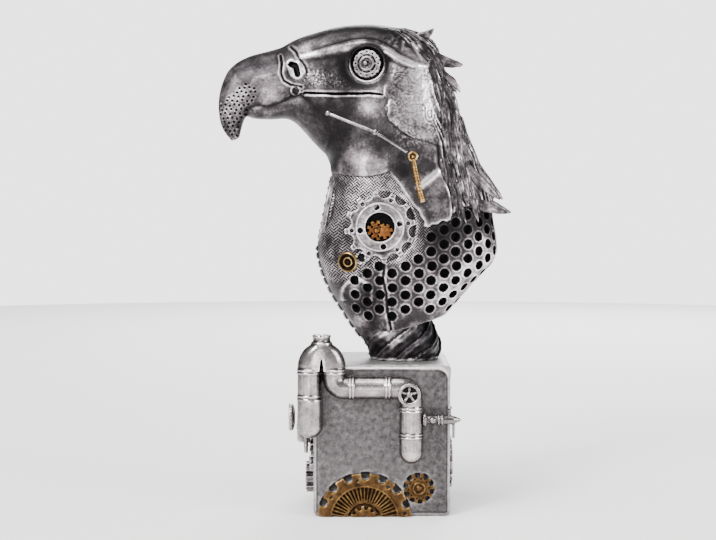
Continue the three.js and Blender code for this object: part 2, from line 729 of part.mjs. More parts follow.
function collar(at, direction) {
  const half = collarLength / 2;
  return fitting(at, direction, [[0, -half], [collarRadius, -half], [collarRadius, half], [0, half]], 10);
}

// The arch that joins the two legs, drawn to a point below its cap
function pipeArch() {
  const middle = (legX + innerLegX) / 2;
  const half = (innerLegX - legX) / 2 + pipeRadius;
  const rows = [
    [0, half, 1], [0.3, 0.98 * half, 1], [0.56, 0.88 * half, 0.98], [0.8, 0.7 * half, 0.92],
    [1, capRadius + 0.4, 0.84],
  ];
  const rings = rows.map(([share, wide, deep]) =>
    ring(10, 1, 0.2).map(
      ([u, v]) =>
        new THREE.Vector3(
          middle + wide * signedPower(u, 0.8),
          pipeY + pipeRadius * deep * signedPower(v, 0.9),
          archFoot + share * (archTop - archFoot),
        ),
    ),
  );
  const slot = new THREE.BoxGeometry(1.2, 20, 8);
  slot.translate(middle, pipeY, archFoot);
  return skin(rings).subtract(solidOf(slot));
}

function steamPipe() {
  const middle = (legX + innerLegX) / 2;
  const end = dropFoot + pipeRadius;
  const dome = [
    [0, -0.5], [pipeRadius, -0.5], [0.8 * pipeRadius, 3.7], [0.4 * pipeRadius, 5.7], [0, pipeRadius],
  ];
  const capAt = [middle, pipeY, archTop - 0.1];
  const cap = [
    [0, 0], [capRadius + 1.2, 0], [capRadius + 1.2, 1], [capRadius, 1.2], [capRadius, capHeight],
    [0, capHeight],
  ];
  const slot = new THREE.BoxGeometry(1.5, 20, 2.4);
  slot.translate(middle, pipeY, archTop + capHeight);
  const sides = 10;
  const pieces = [
    bentPipe(
      [[sideRunX, sideRunEnd, sideRunHeight - sideRunDrop], [sideRunX, sideRunEnd, sideRunHeight],
        [legX, pipeY, sideRunHeight], [legX, pipeY, archFoot + 1]],
      pipeRadius, pipeBend, sides,
    ),
    bentPipe(
      [[innerLegX, pipeY, archFoot + 1], [innerLegX, pipeY, runHeight],
        [dropX, pipeY, runHeight], [dropX, pipeY, end]],
      pipeRadius, pipeBend, sides,
    ),
    pipeArch(),
    fitting(capAt, [0, 0, 1], cap, 8).subtract(solidOf(slot)),
    fitting([dropX, pipeY, end], [0, 0, -1], dome, sides),
    collar([legX, pipeY, archFoot - 0.2], [0, 0, 1]),
    collar([legX, pipeY, archFoot - 15.5], [0, 0, 1]),
    collar([innerLegX, pipeY, archFoot - 0.2], [0, 0, 1]),
    collar([innerLegX + 10.3, pipeY, runHeight], [1, 0, 0]),
    collar([dropX - 13.7, pipeY, runHeight], [1, 0, 0]),
    collar([dropX, pipeY, runHeight - 14.5], [0, 0, 1]),
    collar([dropX, pipeY, runHeight - 30], [0, 0, 1]),
    collar([sideRunX, sideRunEnd, sideRunHeight - sideRunDrop / 2], [0, 0, 1]),
  ];
  return union(pieces).subtract(plinthRoom());
}

// A handwheel with a hub and five spokes sunk in its face
function valveWheel(at, direction, radius) {
  const profile = [
    [0, 0], [0.5 * radius, 0], [radius, 1.4], [radius, wheelDepth], [0.7 * radius, wheelDepth],
    [0.66 * radius, 1.9], [0.25 * radius, 1.9], [0.2 * radius, wheelDepth - 0.6], [0, wheelDepth - 0.6],
  ];
  const spokes = ring(5, 0.45 * radius, 0.3).map(([u, v]) => {
    const spoke = new THREE.BoxGeometry(0.6 * radius, 1.1, 1.1);
    spoke.rotateY(-Math.atan2(v, u));
    spoke.translate(u, 2.1, v);
    spoke.applyMatrix4(frameAt(at, direction));
    return solidOf(spoke);
  });
  return union([fitting(at, direction, profile, 12), ...spokes]);
}

function frontWheel() {
  const at = [dropX + wheelOnBend.x, pipeY - pipeRadius - clearance, runHeight + wheelOnBend.z];
  return valveWheel(at, [0, -1, 0], wheelRadius);
}

function sideWheel() {
  const at = [sideRunX - pipeRadius - clearance, sideWheelAt.y, sideRunHeight + sideWheelAt.rise];
  return valveWheel(at, [-1, 0, 0], sideWheelRadius);
}

const tapX = dropX + pipeRadius;

function sideTap() {
  const y = pipeY + 0.6;
  const length = tapEnd - tapX;
  const profile = [
    [0, 0.3], [4.1, 0.3], [4.1, 2.2], [tapRadius, 2.4], [tapRadius, 9], [3.2, 9.4], [3.2, 11.6],
    [tapRadius, 12], [tapRadius, length - 4.4], [0, length],
  ];
  const bolt = [[0, 0], [1.8, 0], [1.8, 1.2], [1, 1.8], [0, 1.8]];
  const stem = [[0, 0], [1.1, 0], [0.9, 4.2], [1.5, 4.6], [1.5, 6], [0, 6]];
  const handle = new THREE.BoxGeometry(1.6, 1.6, 9);
  handle.translate(tapEnd - 4.6, y, tapHeight - tapRadius - 3.6);
  const pieces = [
    fitting([tapX, y, tapHeight], [1, 0, 0], profile, 8),
    fitting([tapX + 6, y - tapRadius + 0.4, tapHeight], [0, -1, 0], bolt, 6),
    fitting([tapEnd - 7, y, tapHeight + tapRadius - 0.6], [0, 0, 1], stem, 7),
    solidOf(handle),
  ];
  return union(pieces);
}

// The thin drain that hangs from the side run down to the stacked gears
function drainPipe() {
  const top = sideRunHeight - pipeRadius - clearance;
  const foot = sideGear.height + 0.5 * sideGear.radius;
  const length = top - foot;
  const profile = [
    [0, 0], [drainRadius, 0], [drainRadius, length - 2], [2, length - 1.6], [2, length], [0, length],
  ];
  return fitting([drainAt.x, drainAt.y, foot], [0, 0, 1], profile, 8);
}

// Gears laid on the plinth's panels

const panelY = faceY + panelInset - clearance;

function frontHalfGear(more = 0) {
  const { x, height, radius } = halfGear;
  const at = [x, panelY, height];
  const holes = ring(halfGear.teeth / 2, radius - 3.5, halfGear.turn).map(([u, v]) => [u, v, 1.1, 5]);
  const front = (out) => frameAt(at, [0, -1, 0], out);
  const disc = plate(gearOutline({ ...halfGear, x: 0, y: 0 }), gearThickness, front(0), holes);
  const dishFloor = front(gearThickness - halfGearDish.depth);
  const dish = plate(circle(halfGearDish.radius, 28), gearThickness, dishFloor);
  const hub = plate(gearOutline(halfGearHub), gearThickness + 0.4, front(0));
  const { count, length, thickness } = halfGearFins;
  const fins = Array.from({ length: count }, (_, i) => {
    const fin = new THREE.BoxGeometry(length, thickness, 1);
    fin.translate((halfGearHub.radius + halfGearDish.radius) / 2 - 0.8, gearThickness - 0.6, 0);
    fin.rotateY((Math.PI * (i + 1)) / (count + 1));
    fin.applyMatrix4(front(0));
    return solidOf(fin);
  });
  const ground = new THREE.BoxGeometry(100, 100, 50);
  ground.translate(0, 0, -25 + 0.6);
  return union([disc.subtract(dish), hub, ...fins]).subtract(solidOf(ground));
}

function frontSmallGear() {
  const at = [smallGear.x, panelY, smallGear.height];
  const hub = [
    [0, 0], [3.7, 0], [3.7, gearThickness + 0.5], [2.8, gearThickness + 0.5], [2.4, gearThickness - 0.5],
    [1.6, gearThickness - 0.5], [1.1, gearThickness + 0.5], [0, gearThickness + 0.8],
  ];
  const disc = plate(gearOutline({ ...smallGear, x: 0, y: 0 }), gearThickness, frameAt(at, [0, -1, 0]));
  return disc.add(fitting(at, [0, -1, 0], hub, 12));
}

function plainGear(gear, at, direction) {
  const [hubRadius, hubHeight] = [0.3 * gear.radius, gearThickness + 0.8];
  const hub = [[0, 0], [hubRadius, 0], [hubRadius, hubHeight], [0, hubHeight]];
  const disc = plate(gearOutline(gear), gearThickness, frameAt(at, direction));
  return disc.add(fitting(at, direction, hub, 10));
}

// The left end's gear, with a smaller one cast on it in front
function leftGear() {
  const large = plainGear(sideGear, [-endX, -6, sideGear.height], [-1, 0, 0]);
  const small = frameAt([-endX, -14, stackedGear.height], [-1, 0, 0]);
  return large.add(plate(gearOutline(stackedGear), 2 * gearThickness, small));
}

const endX = plinthWidth / 2 - panelInset + clearance;

const paint = (name, color) =>
  new THREE.MeshStandardMaterial({ name, color, metalness: 0.9, roughness: 0.4 });
const silver = paint("antique silver", 0x8b8a8c);
const brass = paint("aged brass", 0xb07f3a);
const copper = paint("copper", 0xc07a3a);

const figurine = new THREE.Group();
figurine.name = "steampunk_eagle_figurine";

function add(name, solid, material) {
  const mesh = new THREE.Mesh(geometryOf(solid), material);
  mesh.name = name;
  figurine.add(mesh);
}

function addPair(name, solid, material) {
  add(`${name}_left`, solid, material);
  add(`${name}_right`, mirrored(solid), material);
}

const { bust, find } = bustSolid();
const pipe = steamPipe();

add("plinth", plinthSolid(), silver);
add("eagle_bust", bust, silver);
add("steam_pipe", pipe, silver);
add("front_valve_wheel", frontWheel(), silver);
add("left_valve_wheel", sideWheel(), silver);
add("side_tap", sideTap(), silver);
add("drain_pipe", drainPipe(), silver);
add("half_gear", frontHalfGear(), brass);
add("small_gear", frontSmallGear(), brass);
add("left_gear", leftGear(), silver);
add("right_gear", plainGear(sideGear, [endX, 0, sideGear.height], [1, 0, 0]), silver);
add("back_gear", plainGear(sideGear, [0, -panelY, sideGear.height], [0, 1, 0]), silver);
addPair("porthole_plate", portholePlate(), silver);
addPair("porthole_flange", portholeFlange(), silver);
addPair("well_gears", wellGears(), copper);
addPair("neck_boss", brassBoss(find), brass);
addPair("cheek_rod", cheekRod(find), silver);
addPair("cheek_lever", cheekLever(find), brass);
add("chest_disc", chestDisc(), silver);

export default figurine;
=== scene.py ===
# Steampunk eagle figurine: every piece of the CAD frame is dressed with its look, in the frame's own place

import math

import bmesh
import bpy
import numpy as np
from mathutils import Matrix, Vector, noise
from mathutils.bvhtree import BVHTree


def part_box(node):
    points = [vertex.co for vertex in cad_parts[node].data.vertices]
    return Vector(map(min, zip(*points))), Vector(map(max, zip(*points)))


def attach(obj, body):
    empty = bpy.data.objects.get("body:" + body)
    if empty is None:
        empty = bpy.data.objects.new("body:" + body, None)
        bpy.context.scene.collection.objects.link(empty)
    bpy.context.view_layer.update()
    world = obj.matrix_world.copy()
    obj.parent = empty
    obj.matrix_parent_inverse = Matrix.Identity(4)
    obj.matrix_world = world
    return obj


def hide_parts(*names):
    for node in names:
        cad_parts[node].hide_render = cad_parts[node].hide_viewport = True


mm = 0.001

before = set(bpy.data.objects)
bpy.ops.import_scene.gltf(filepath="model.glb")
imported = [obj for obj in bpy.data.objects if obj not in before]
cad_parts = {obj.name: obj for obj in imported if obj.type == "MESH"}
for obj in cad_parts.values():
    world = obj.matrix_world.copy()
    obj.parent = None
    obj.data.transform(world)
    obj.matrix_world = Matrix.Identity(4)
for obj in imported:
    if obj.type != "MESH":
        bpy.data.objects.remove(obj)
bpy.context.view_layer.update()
plinthLow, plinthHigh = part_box("plinth")
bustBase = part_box("eagle_bust")[0].z
print("frame loaded")

# The camera stands a metre in front of the figurine's left side, a little above the plinth's top.
view = {"x": -14.1, "distance": 1000, "height": 198.3, "lens": 82.6, "dip": 3.12}

cameraData = bpy.data.cameras.new("camera")
cameraData.lens = view["lens"]
camera = bpy.data.objects.new("camera", cameraData)
bpy.context.scene.collection.objects.link(camera)
camera.location = (view["x"] * mm, -view["distance"] * mm, view["height"] * mm)
camera.rotation_euler = (math.radians(90 - view["dip"]), 0, 0)
bpy.context.scene.camera = camera


# Working with the selection and with modifiers

def selectOnly(*objects):
    bpy.ops.object.select_all(action="DESELECT")
    for obj in objects:
        obj.select_set(True)
    bpy.context.view_layer.objects.active = objects[0]


def joined(name, objects):
    selectOnly(*objects)
    if len(objects) > 1:
        bpy.ops.object.join()
    obj = bpy.context.object
    obj.name = name
    obj.data.name = name
    return obj


def modified(obj, kind, **settings):
    selectOnly(obj)
    bpy.ops.object.modifier_add(type=kind)
    modifier = obj.modifiers[-1]
    for key, value in settings.items():
        setattr(modifier, key, value)
    bpy.ops.object.modifier_apply(modifier=modifier.name)
    return obj


def cutBy(obj, cutter, operation="DIFFERENCE"):
    modified(obj, "BOOLEAN", operation=operation, solver="MANIFOLD", object=cutter)
    bpy.data.objects.remove(cutter)
    return obj


def remeshed(obj, sizeMm):
    return modified(obj, "REMESH", mode="VOXEL", voxel_size=sizeMm * mm)


def settled(obj):
    # puts an object's place into its mesh
    obj.data.transform(obj.matrix_world)
    obj.matrix_world = Matrix.Identity(4)
    return obj


def facing(point, direction):
    # local +Z looks along the direction, local +Y is as upright as it goes
    out = Vector(direction).normalized()
    up = Vector((0, 0, 1)) if abs(out.z) < 0.95 else Vector((1, 0, 0))
    across = up.cross(out).normalized()
    upright = out.cross(across)
    turn = Matrix((across, upright, out)).transposed().to_4x4()
    return Matrix.Translation(Vector(point)) @ turn


def placed(obj, point, direction):
    obj.data.transform(facing(point, direction))
    return obj


def mirroredCopy(obj, name):
    twin = obj.copy()
    twin.data = obj.data.copy()
    twin.name = name
    twin.data.name = name
    bpy.context.scene.collection.objects.link(twin)
    twin.data.transform(Matrix.Scale(-1, 4, (0, 1, 0)))
    twin.data.flip_normals()
    return twin


def smooth(obj, angle):
    selectOnly(obj)
    bpy.ops.object.shade_smooth_by_angle(angle=math.radians(angle))


def facesOutward(obj, weldMm=0.0):
    # points that lie on each other become one, and all faces look outward
    selectOnly(obj)
    bpy.ops.object.mode_set(mode="EDIT")
    bpy.ops.mesh.select_all(action="SELECT")
    if weldMm:
        bpy.ops.mesh.remove_doubles(threshold=weldMm * mm)
    bpy.ops.mesh.normals_make_consistent(inside=False)
    bpy.ops.object.mode_set(mode="OBJECT")
    return obj


# Meshes from rings, for the free forms

def meshObject(name, points, faces):
    mesh = bpy.data.meshes.new(name)
    mesh.from_pydata([tuple(p) for p in points], [], faces)
    obj = bpy.data.objects.new(name, mesh)
    bpy.context.scene.collection.objects.link(obj)
    return obj


def skin(name, rings):
    # closed skin over rings of points, an array (ring, side, xyz) in metres
    rings = np.asarray(rings)
    ringCount, sides = rings.shape[:2]
    faces = []
    for r in range(ringCount - 1):
        for j in range(sides):
            k = (j + 1) % sides
            faces.append((r * sides + j, r * sides + k, (r + 1) * sides + k, (r + 1) * sides + j))
    first, last = ringCount * sides, ringCount * sides + 1
    tail = (ringCount - 1) * sides
    for j in range(sides):
        k = (j + 1) % sides
        faces.append((first, k, j))
        faces.append((last, tail + j, tail + k))
    points = np.vstack([rings.reshape(-1, 3), rings[0].mean(0), rings[-1].mean(0)])
    return facesOutward(meshObject(name, points, faces))


def rowsAt(rows, t):
    # smooth interpolation through rows of numbers, at positions counted in rows
    rows = np.asarray(rows, float)
    last = len(rows) - 1
    t = np.asarray(t, float)
    i = np.clip(np.floor(t).astype(int), 0, last - 1)
    f = (t - i)[:, None]
    a, b = rows[np.clip(i - 1, 0, last)], rows[i]
    c, d = rows[i + 1], rows[np.clip(i + 2, 0, last)]
    slopeB, slopeC, rise = (c - a) / 2, (d - b) / 2, c - b
    return b + f * (slopeB + f * (3 * rise - 2 * slopeB - slopeC + f * (slopeB + slopeC - 2 * rise)))


def sections(rows, rings, sides, grow=0.0, span=None):
    # the bust's sections as rings of points: outer and inner line, half-width, fullness and lean
    first, last = span or (0, len(rows) - 1)
    values = rowsAt(rows, np.linspace(first, last, rings))
    ox, oz, ix, iz, halfWidth, fullness, lean = (column[:, None] for column in values.T)
    angle = np.linspace(0, 2 * math.pi, sides, endpoint=False)[None, :]
    along = np.sign(np.cos(angle)) * np.abs(np.cos(angle)) ** (2 / fullness)
    across = np.sign(np.sin(angle)) * np.abs(np.sin(angle)) ** (2 / fullness)
    half = np.hypot(ox - ix, oz - iz) / 2
    t = (along + lean * (1 - along**2)) * (half + 0.6 * grow) / half
    x = (ox + ix) / 2 + (ox - ix) / 2 * t
    z = (oz + iz) / 2 + (oz - iz) / 2 * t
    y = (halfWidth + grow) * across
    return np.stack([x, y, z], axis=2) * mm + np.array([0, 0, bustBase])


def sweep(name, points, radii, sides=8, flatness=1.0):
    # a round or flattened bar through points in metres, its radii in metres
    points = np.asarray(points, float)
    ahead = np.gradient(points, axis=0)
    ahead /= np.linalg.norm(ahead, axis=1)[:, None]
    across = np.cross([0.0, 1.0, 0.0], ahead)
    across /= np.linalg.norm(across, axis=1)[:, None]
    up = np.cross(ahead, across)
    angle = np.linspace(0, 2 * math.pi, sides, endpoint=False)
    radii = np.asarray(radii, float)[:, None, None]
    ring = across[:, None, :] * np.cos(angle)[None, :, None]
    ring = ring + flatness * up[:, None, :] * np.sin(angle)[None, :, None]
    return skin(name, points[:, None, :] + radii * ring)


def sideSlab(name, outline, halfWidthMm=60):
    # a side outline [x, height above the plinth] as a slab right through the bust
    count = len(outline)
    near = [(x * mm, -halfWidthMm * mm, bustBase + z * mm) for x, z in outline]
    far = [(x, -y, z) for x, y, z in near]
    faces = [tuple(range(count)), tuple(range(2 * count - 1, count - 1, -1))]
    faces += [(i, i + count, (i + 1) % count + count, (i + 1) % count) for i in range(count)]
    return facesOutward(meshObject(name, near + far, faces))


# Carving: a surface is moved along its normals by a height worked out from side positions in mm

def readPoints(obj, kind="co"):
    values = np.zeros(len(obj.data.vertices) * 3, np.float32)
    obj.data.vertices.foreach_get(kind, values)
    return values.reshape(-1, 3).astype(float)


def bustPlaces(obj):
    # x, |y| and height above the plinth in mm
    points = readPoints(obj)
    return points[:, 0] / mm, np.abs(points[:, 1]) / mm, (points[:, 2] - bustBase) / mm


def raiseBy(obj, heightMm):
    points = readPoints(obj) + readPoints(obj, "normal") * (heightMm * mm)[:, None]
    obj.data.vertices.foreach_set("co", points.astype(np.float32).ravel())
    obj.data.update()


def distanceTo(line, x, z):
    # distance from side positions to a line of points, and how far along it the nearest place is
    best = np.full(len(x), 1e9)
    along = np.zeros(len(x))
    for i, ((x0, z0), (x1, z1)) in enumerate(zip(line[:-1], line[1:])):
        dx, dz = x1 - x0, z1 - z0
        t = np.clip(((x - x0) * dx + (z - z0) * dz) / (dx * dx + dz * dz), 0, 1)
        gap = np.hypot(x - x0 - t * dx, z - z0 - t * dz)
        nearer = gap < best
        best = np.where(nearer, gap, best)
        along = np.where(nearer, (i + t) / (len(line) - 1), along)
    return best, along


def gapTo(line, x, z):
    return distanceTo(line, x, z)[0]


def away(place, x, z):
    # distance from side positions to one place
    return np.hypot(x - place[0], z - place[1])


def insideOf(outline, x, z):
    inside = np.zeros(len(x), bool)
    for (x0, z0), (x1, z1) in zip(outline, outline[1:] + outline[:1]):
        if z0 == z1:
            continue
        crosses = ((z0 > z) != (z1 > z)) & (x < (x1 - x0) * (z - z0) / (z1 - z0) + x0)
        inside ^= crosses
    return inside


def bell(distance, width):
    return np.exp(-((distance / width) ** 2))


def step(value, low, high):
    t = np.clip((value - low) / (high - low), 0, 1)
    return t * t * (3 - 2 * t)


def within(outline, x, z, soft):
    # 1 inside an outline, 0 outside, with a soft edge
    gap = gapTo(outline + outline[:1], x, z)
    signed = np.where(insideOf(outline, x, z), gap, -gap)
    return step(signed, -soft, soft)


def addSpots(tone, spots, x, z):
    # each spot has its place, its radius and how much it changes the tone
    for placeX, placeZ, radius, change in spots:
        tone += change * bell(away((placeX, placeZ), x, z), radius)


def grain(points, sizeMm, seed):
    # soft noise from -1 to 1, its lumps about sizeMm across; points are in mm
    offset = Vector((seed * 17.3, seed * 5.1, seed * 9.7))
    scaled = points / sizeMm
    return np.array([noise.noise(Vector(p) + offset) for p in scaled])


def smoothed(values, edges, rounds):
    count = np.bincount(edges.ravel(), minlength=len(values)).astype(float)
    count[count == 0] = 1
    for _ in range(rounds):
        total = np.zeros_like(values)
        for axis in range(values.shape[1]):
            total[:, axis] = np.bincount(edges[:, 0], values[edges[:, 1], axis], len(values))
            total[:, axis] += np.bincount(edges[:, 1], values[edges[:, 0], axis], len(values))
        values = 0.5 * values + 0.5 * total / count[:, None]
    return values


def paint(obj, name, values):
    if name in obj.data.attributes:
        obj.data.attributes.remove(obj.data.attributes[name])
    layer = obj.data.attributes.new(name, "FLOAT", "POINT")
    layer.data.foreach_set("value", np.asarray(values, np.float32))


def paintRelief(obj, fine=5, broad=40, fineMm=0.10, broadMm=0.5, more=0.0):
    # hollows are negative and ridges positive, which is where the wash stays and where it is rubbed off
    points, normals = readPoints(obj), readPoints(obj, "normal")
    edges = np.zeros(len(obj.data.edges) * 2, np.int32)
    obj.data.edges.foreach_get("vertices", edges)
    edges = edges.reshape(-1, 2)
    near = smoothed(points, edges, fine)
    far = smoothed(near, edges, broad)
    fineHeight = ((points - near) * normals).sum(1) / (fineMm * mm)
    broadHeight = ((near - far) * normals).sum(1) / (broadMm * mm)
    paint(obj, "relief", np.clip(0.55 * fineHeight + 0.55 * broadHeight + more, -1, 1))


def trianglesOf(obj):
    return sum(len(face.vertices) - 2 for face in obj.data.polygons)


def lightened(obj, limit=175000):
    # no piece keeps more triangles than this
    triangles = trianglesOf(obj)
    if triangles > limit:
        modified(obj, "DECIMATE", ratio=limit / triangles)
    return obj


# Materials

def linear(hexColour):
    parts = [int(hexColour[i : i + 2], 16) / 255 for i in (1, 3, 5)]
    return [((c + 0.055) / 1.055) ** 2.4 if c > 0.04045 else c / 12.92 for c in parts] + [1.0]


def newMaterial(name):
    material = bpy.data.materials.new(name)
    material.use_nodes = True
    material.node_tree.nodes.clear()
    return material


def addNode(material, kind, inputs=None, **settings):
    # adds a node; an input is a number, a socket, or a node whose first output is meant
    node = material.node_tree.nodes.new(kind)
    for key, value in settings.items():
        setattr(node, key, value)
    for key, value in (inputs or {}).items():
        if isinstance(value, bpy.types.Node):
            value = value.outputs[0]
        if isinstance(value, bpy.types.NodeSocket):
            material.node_tree.links.new(value, node.inputs[key])
        else:
            node.inputs[key].default_value = value
    return node


def setStops(ramp, stops):
    ends = ramp.elements
    ends[0].position, ends[0].color = stops[0][0], linear(stops[0][1])
    ends[1].position, ends[1].color = stops[-1][0], linear(stops[-1][1])
    for position, colour in stops[1:-1]:
        ends.new(position).color = linear(colour)


maths = "ShaderNodeMath"
# How far the painted relief and the fine grain of the paint change its shade
wash = {"relief": 0.34, "grain": 0.42}
# The basket weave of the neck, its strands at 45 degrees; drawn a little coarser than cast so that it shows
weave = {"cellMm": 2.5, "dark": 0.95, "shade": 0.10, "middle": 0.6, "raised": 4.0}


def woven(material, level, fine):
    # darkens and raises the paint by the weave's strands
    mask, around, height = (
        addNode(material, "ShaderNodeAttribute", attribute_name=name).outputs["Fac"]
        for name in ("weave", "around", "height")
    )
    turns = math.pi / weave["cellMm"] / math.sqrt(2)
    waves, strands = [], []
    for way in ("ADD", "SUBTRACT"):
        across = addNode(material, maths, {0: around, 1: height}, operation=way)
        across = addNode(material, maths, {0: across, 1: turns}, operation="MULTIPLY")
        waves.append(addNode(material, maths, {0: across}, operation="SINE"))
        # two strands run side by side through each cell
        strand = addNode(material, maths, {0: across, 1: 2.0}, operation="MULTIPLY")
        strand = addNode(material, maths, {0: strand}, operation="SINE")
        strands.append(addNode(material, maths, {0: strand}, operation="ABSOLUTE"))
    # they run one way or the other by the cell
    cell = addNode(material, maths, {0: waves[0], 1: waves[1]}, operation="MULTIPLY")
    over = addNode(material, maths, {0: cell, 1: 0.0}, operation="GREATER_THAN")
    change = addNode(material, maths, {0: strands[0], 1: strands[1]}, operation="SUBTRACT")
    knots = addNode(material, maths, {0: over, 1: change, 2: strands[1]}, operation="MULTIPLY_ADD")
    knots = addNode(material, maths, {0: knots, 1: weave["middle"]}, operation="SUBTRACT")
    knots = addNode(material, maths, {0: knots, 1: mask}, operation="MULTIPLY")
    level = addNode(material, maths, {0: knots, 1: weave["dark"], 2: level}, operation="MULTIPLY_ADD")
    raised = addNode(material, maths, {0: knots, 1: weave["raised"], 2: fine}, operation="MULTIPLY_ADD")
    return level, raised


def washedMetal(
    name, stops, metallic, rough, grainMm=0.35, mottleMm=6.0, mottle=0.30, bumpMm=0.05, patterned=False
):
    # a painted casting: a dark wash lies in the hollows and is rubbed off the ridges,
    # by the painted attributes relief and tone; tone also holds painted highlights and painted shade
    material = newMaterial(name)
    place = addNode(material, "ShaderNodeTexCoord").outputs["Object"]
    relief, tone = (
        addNode(material, "ShaderNodeAttribute", attribute_name=name).outputs["Fac"]
        for name in ("relief", "tone")
    )
    fine = addNode(
        material, "ShaderNodeTexNoise",
        {"Vector": place, "Scale": 1 / (grainMm * mm * 4), "Detail": 4.0, "Roughness": 0.65},
    )
    broad = addNode(
        material, "ShaderNodeTexNoise",
        {"Vector": place, "Scale": 1 / (mottleMm * mm), "Detail": 5.0, "Roughness": 0.6},
    )
    level = addNode(material, maths, {0: relief, 1: wash["relief"], 2: tone}, operation="MULTIPLY_ADD")
    for pattern, amount in ((broad, 2 * mottle), (fine, wash["grain"])):
        swing = addNode(material, maths, {0: pattern, 1: 0.5}, operation="SUBTRACT")
        level = addNode(material, maths, {0: swing, 1: amount, 2: level}, operation="MULTIPLY_ADD")
    height = fine
    if patterned:
        level, height = woven(material, level, fine)
    colour = addNode(material, "ShaderNodeValToRGB", {"Fac": level})
    setStops(colour.color_ramp, stops)
    roughness = addNode(
        material, maths, {0: level, 1: rough[0] - rough[1], 2: rough[1]},
        operation="MULTIPLY_ADD", use_clamp=True,
    )
    bump = addNode(material, "ShaderNodeBump", {"Height": height, "Strength": 0.5, "Distance": bumpMm * mm})
    shader = addNode(
        material, "ShaderNodeBsdfPrincipled",
        {"Base Color": colour, "Roughness": roughness, "Metallic": metallic, "Normal": bump},
    )
    addNode(material, "ShaderNodeOutputMaterial", {"Surface": shader})
    return material


# Antique silver paint: near-black wash in the hollows, cool grey with a faint plum cast, and rubbed
# almost white on the ridges
silverStops = [
    (0.0, "#0a0809"), (0.22, "#191618"), (0.42, "#3b3739"), (0.58, "#777073"), (0.76, "#cbc4c6"),
    (0.95, "#f8f4f4"),
]
silver = washedMetal("antique silver paint", silverStops, 0.82, (0.26, 0.5))
meshSilver = washedMetal("antique silver mesh", silverStops, 0.8, (0.3, 0.52), patterned=True)
# Polished pewter paint of the pipework: smoother, so its highlights run the length of a pipe
pewterStops = [(0.0, "#0d0b0c"), (0.25, "#272425"), (0.5, "#5b5657"), (0.75, "#a39d9c"), (1.0, "#f0ebe9")]
pewter = washedMetal("polished pewter paint", pewterStops, 0.92, (0.16, 0.34), mottle=0.24, bumpMm=0.03)
# Sandy cast grey of the plinth: matt, finely mottled
plinthStops = [(0.0, "#121011"), (0.3, "#373435"), (0.52, "#605c5d"), (0.75, "#8f8b8b"), (1.0, "#d8d3d1")]
plinthGrey = washedMetal(
    "sanded pewter paint", plinthStops, 0.6, (0.42, 0.6), mottleMm=3, mottle=0.12, bumpMm=0.08
)
# Blackened wrap under the neck: glossy dark steel paint
darkStops = [(0.0, "#0a090a"), (0.35, "#1d1b1d"), (0.6, "#403c3f"), (0.85, "#8b8688"), (1.0, "#d6d2d2")]
darkWrap = washedMetal("blackened steel paint", darkStops, 0.85, (0.25, 0.42), mottle=0.2)
# Aged brass paint with brown wash, and worn copper paint
brassStops = [(0.0, "#0d0703"), (0.25, "#291a0c"), (0.5, "#563d21"), (0.75, "#8d6e3f"), (1.0, "#f2dfb2")]
brass = washedMetal("aged brass paint", brassStops, 0.9, (0.24, 0.42), mottleMm=3.5, mottle=0.3)
copperStops = [(0.0, "#100603"), (0.3, "#341a0b"), (0.55, "#75461f"), (0.8, "#bb894a"), (1.0, "#f4d9a4")]
copper = washedMetal("worn copper paint", copperStops, 0.85, (0.25, 0.42))


def holeShade():
    # painted shade for the unlit inside of the bust behind its holes: a matt black
    material = newMaterial("matt black inside")
    shader = addNode(
        material, "ShaderNodeBsdfPrincipled",
        {"Base Color": linear("#060505"), "Roughness": 0.9, "Metallic": 0.0, "Specular IOR Level": 0.15},
    )
    addNode(material, "ShaderNodeOutputMaterial", {"Surface": shader})
    return material


black = holeShade()


def dressAsIs(obj, replaces, angle=50):
    # for a piece that already has its materials
    smooth(obj, angle)
    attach(obj, "root")
    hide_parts(*replaces)


def dress(obj, material, replaces, angle=45):
    obj.data.materials.clear()
    obj.data.materials.append(material)
    dressAsIs(obj, replaces, angle)


print("materials made")

# The head

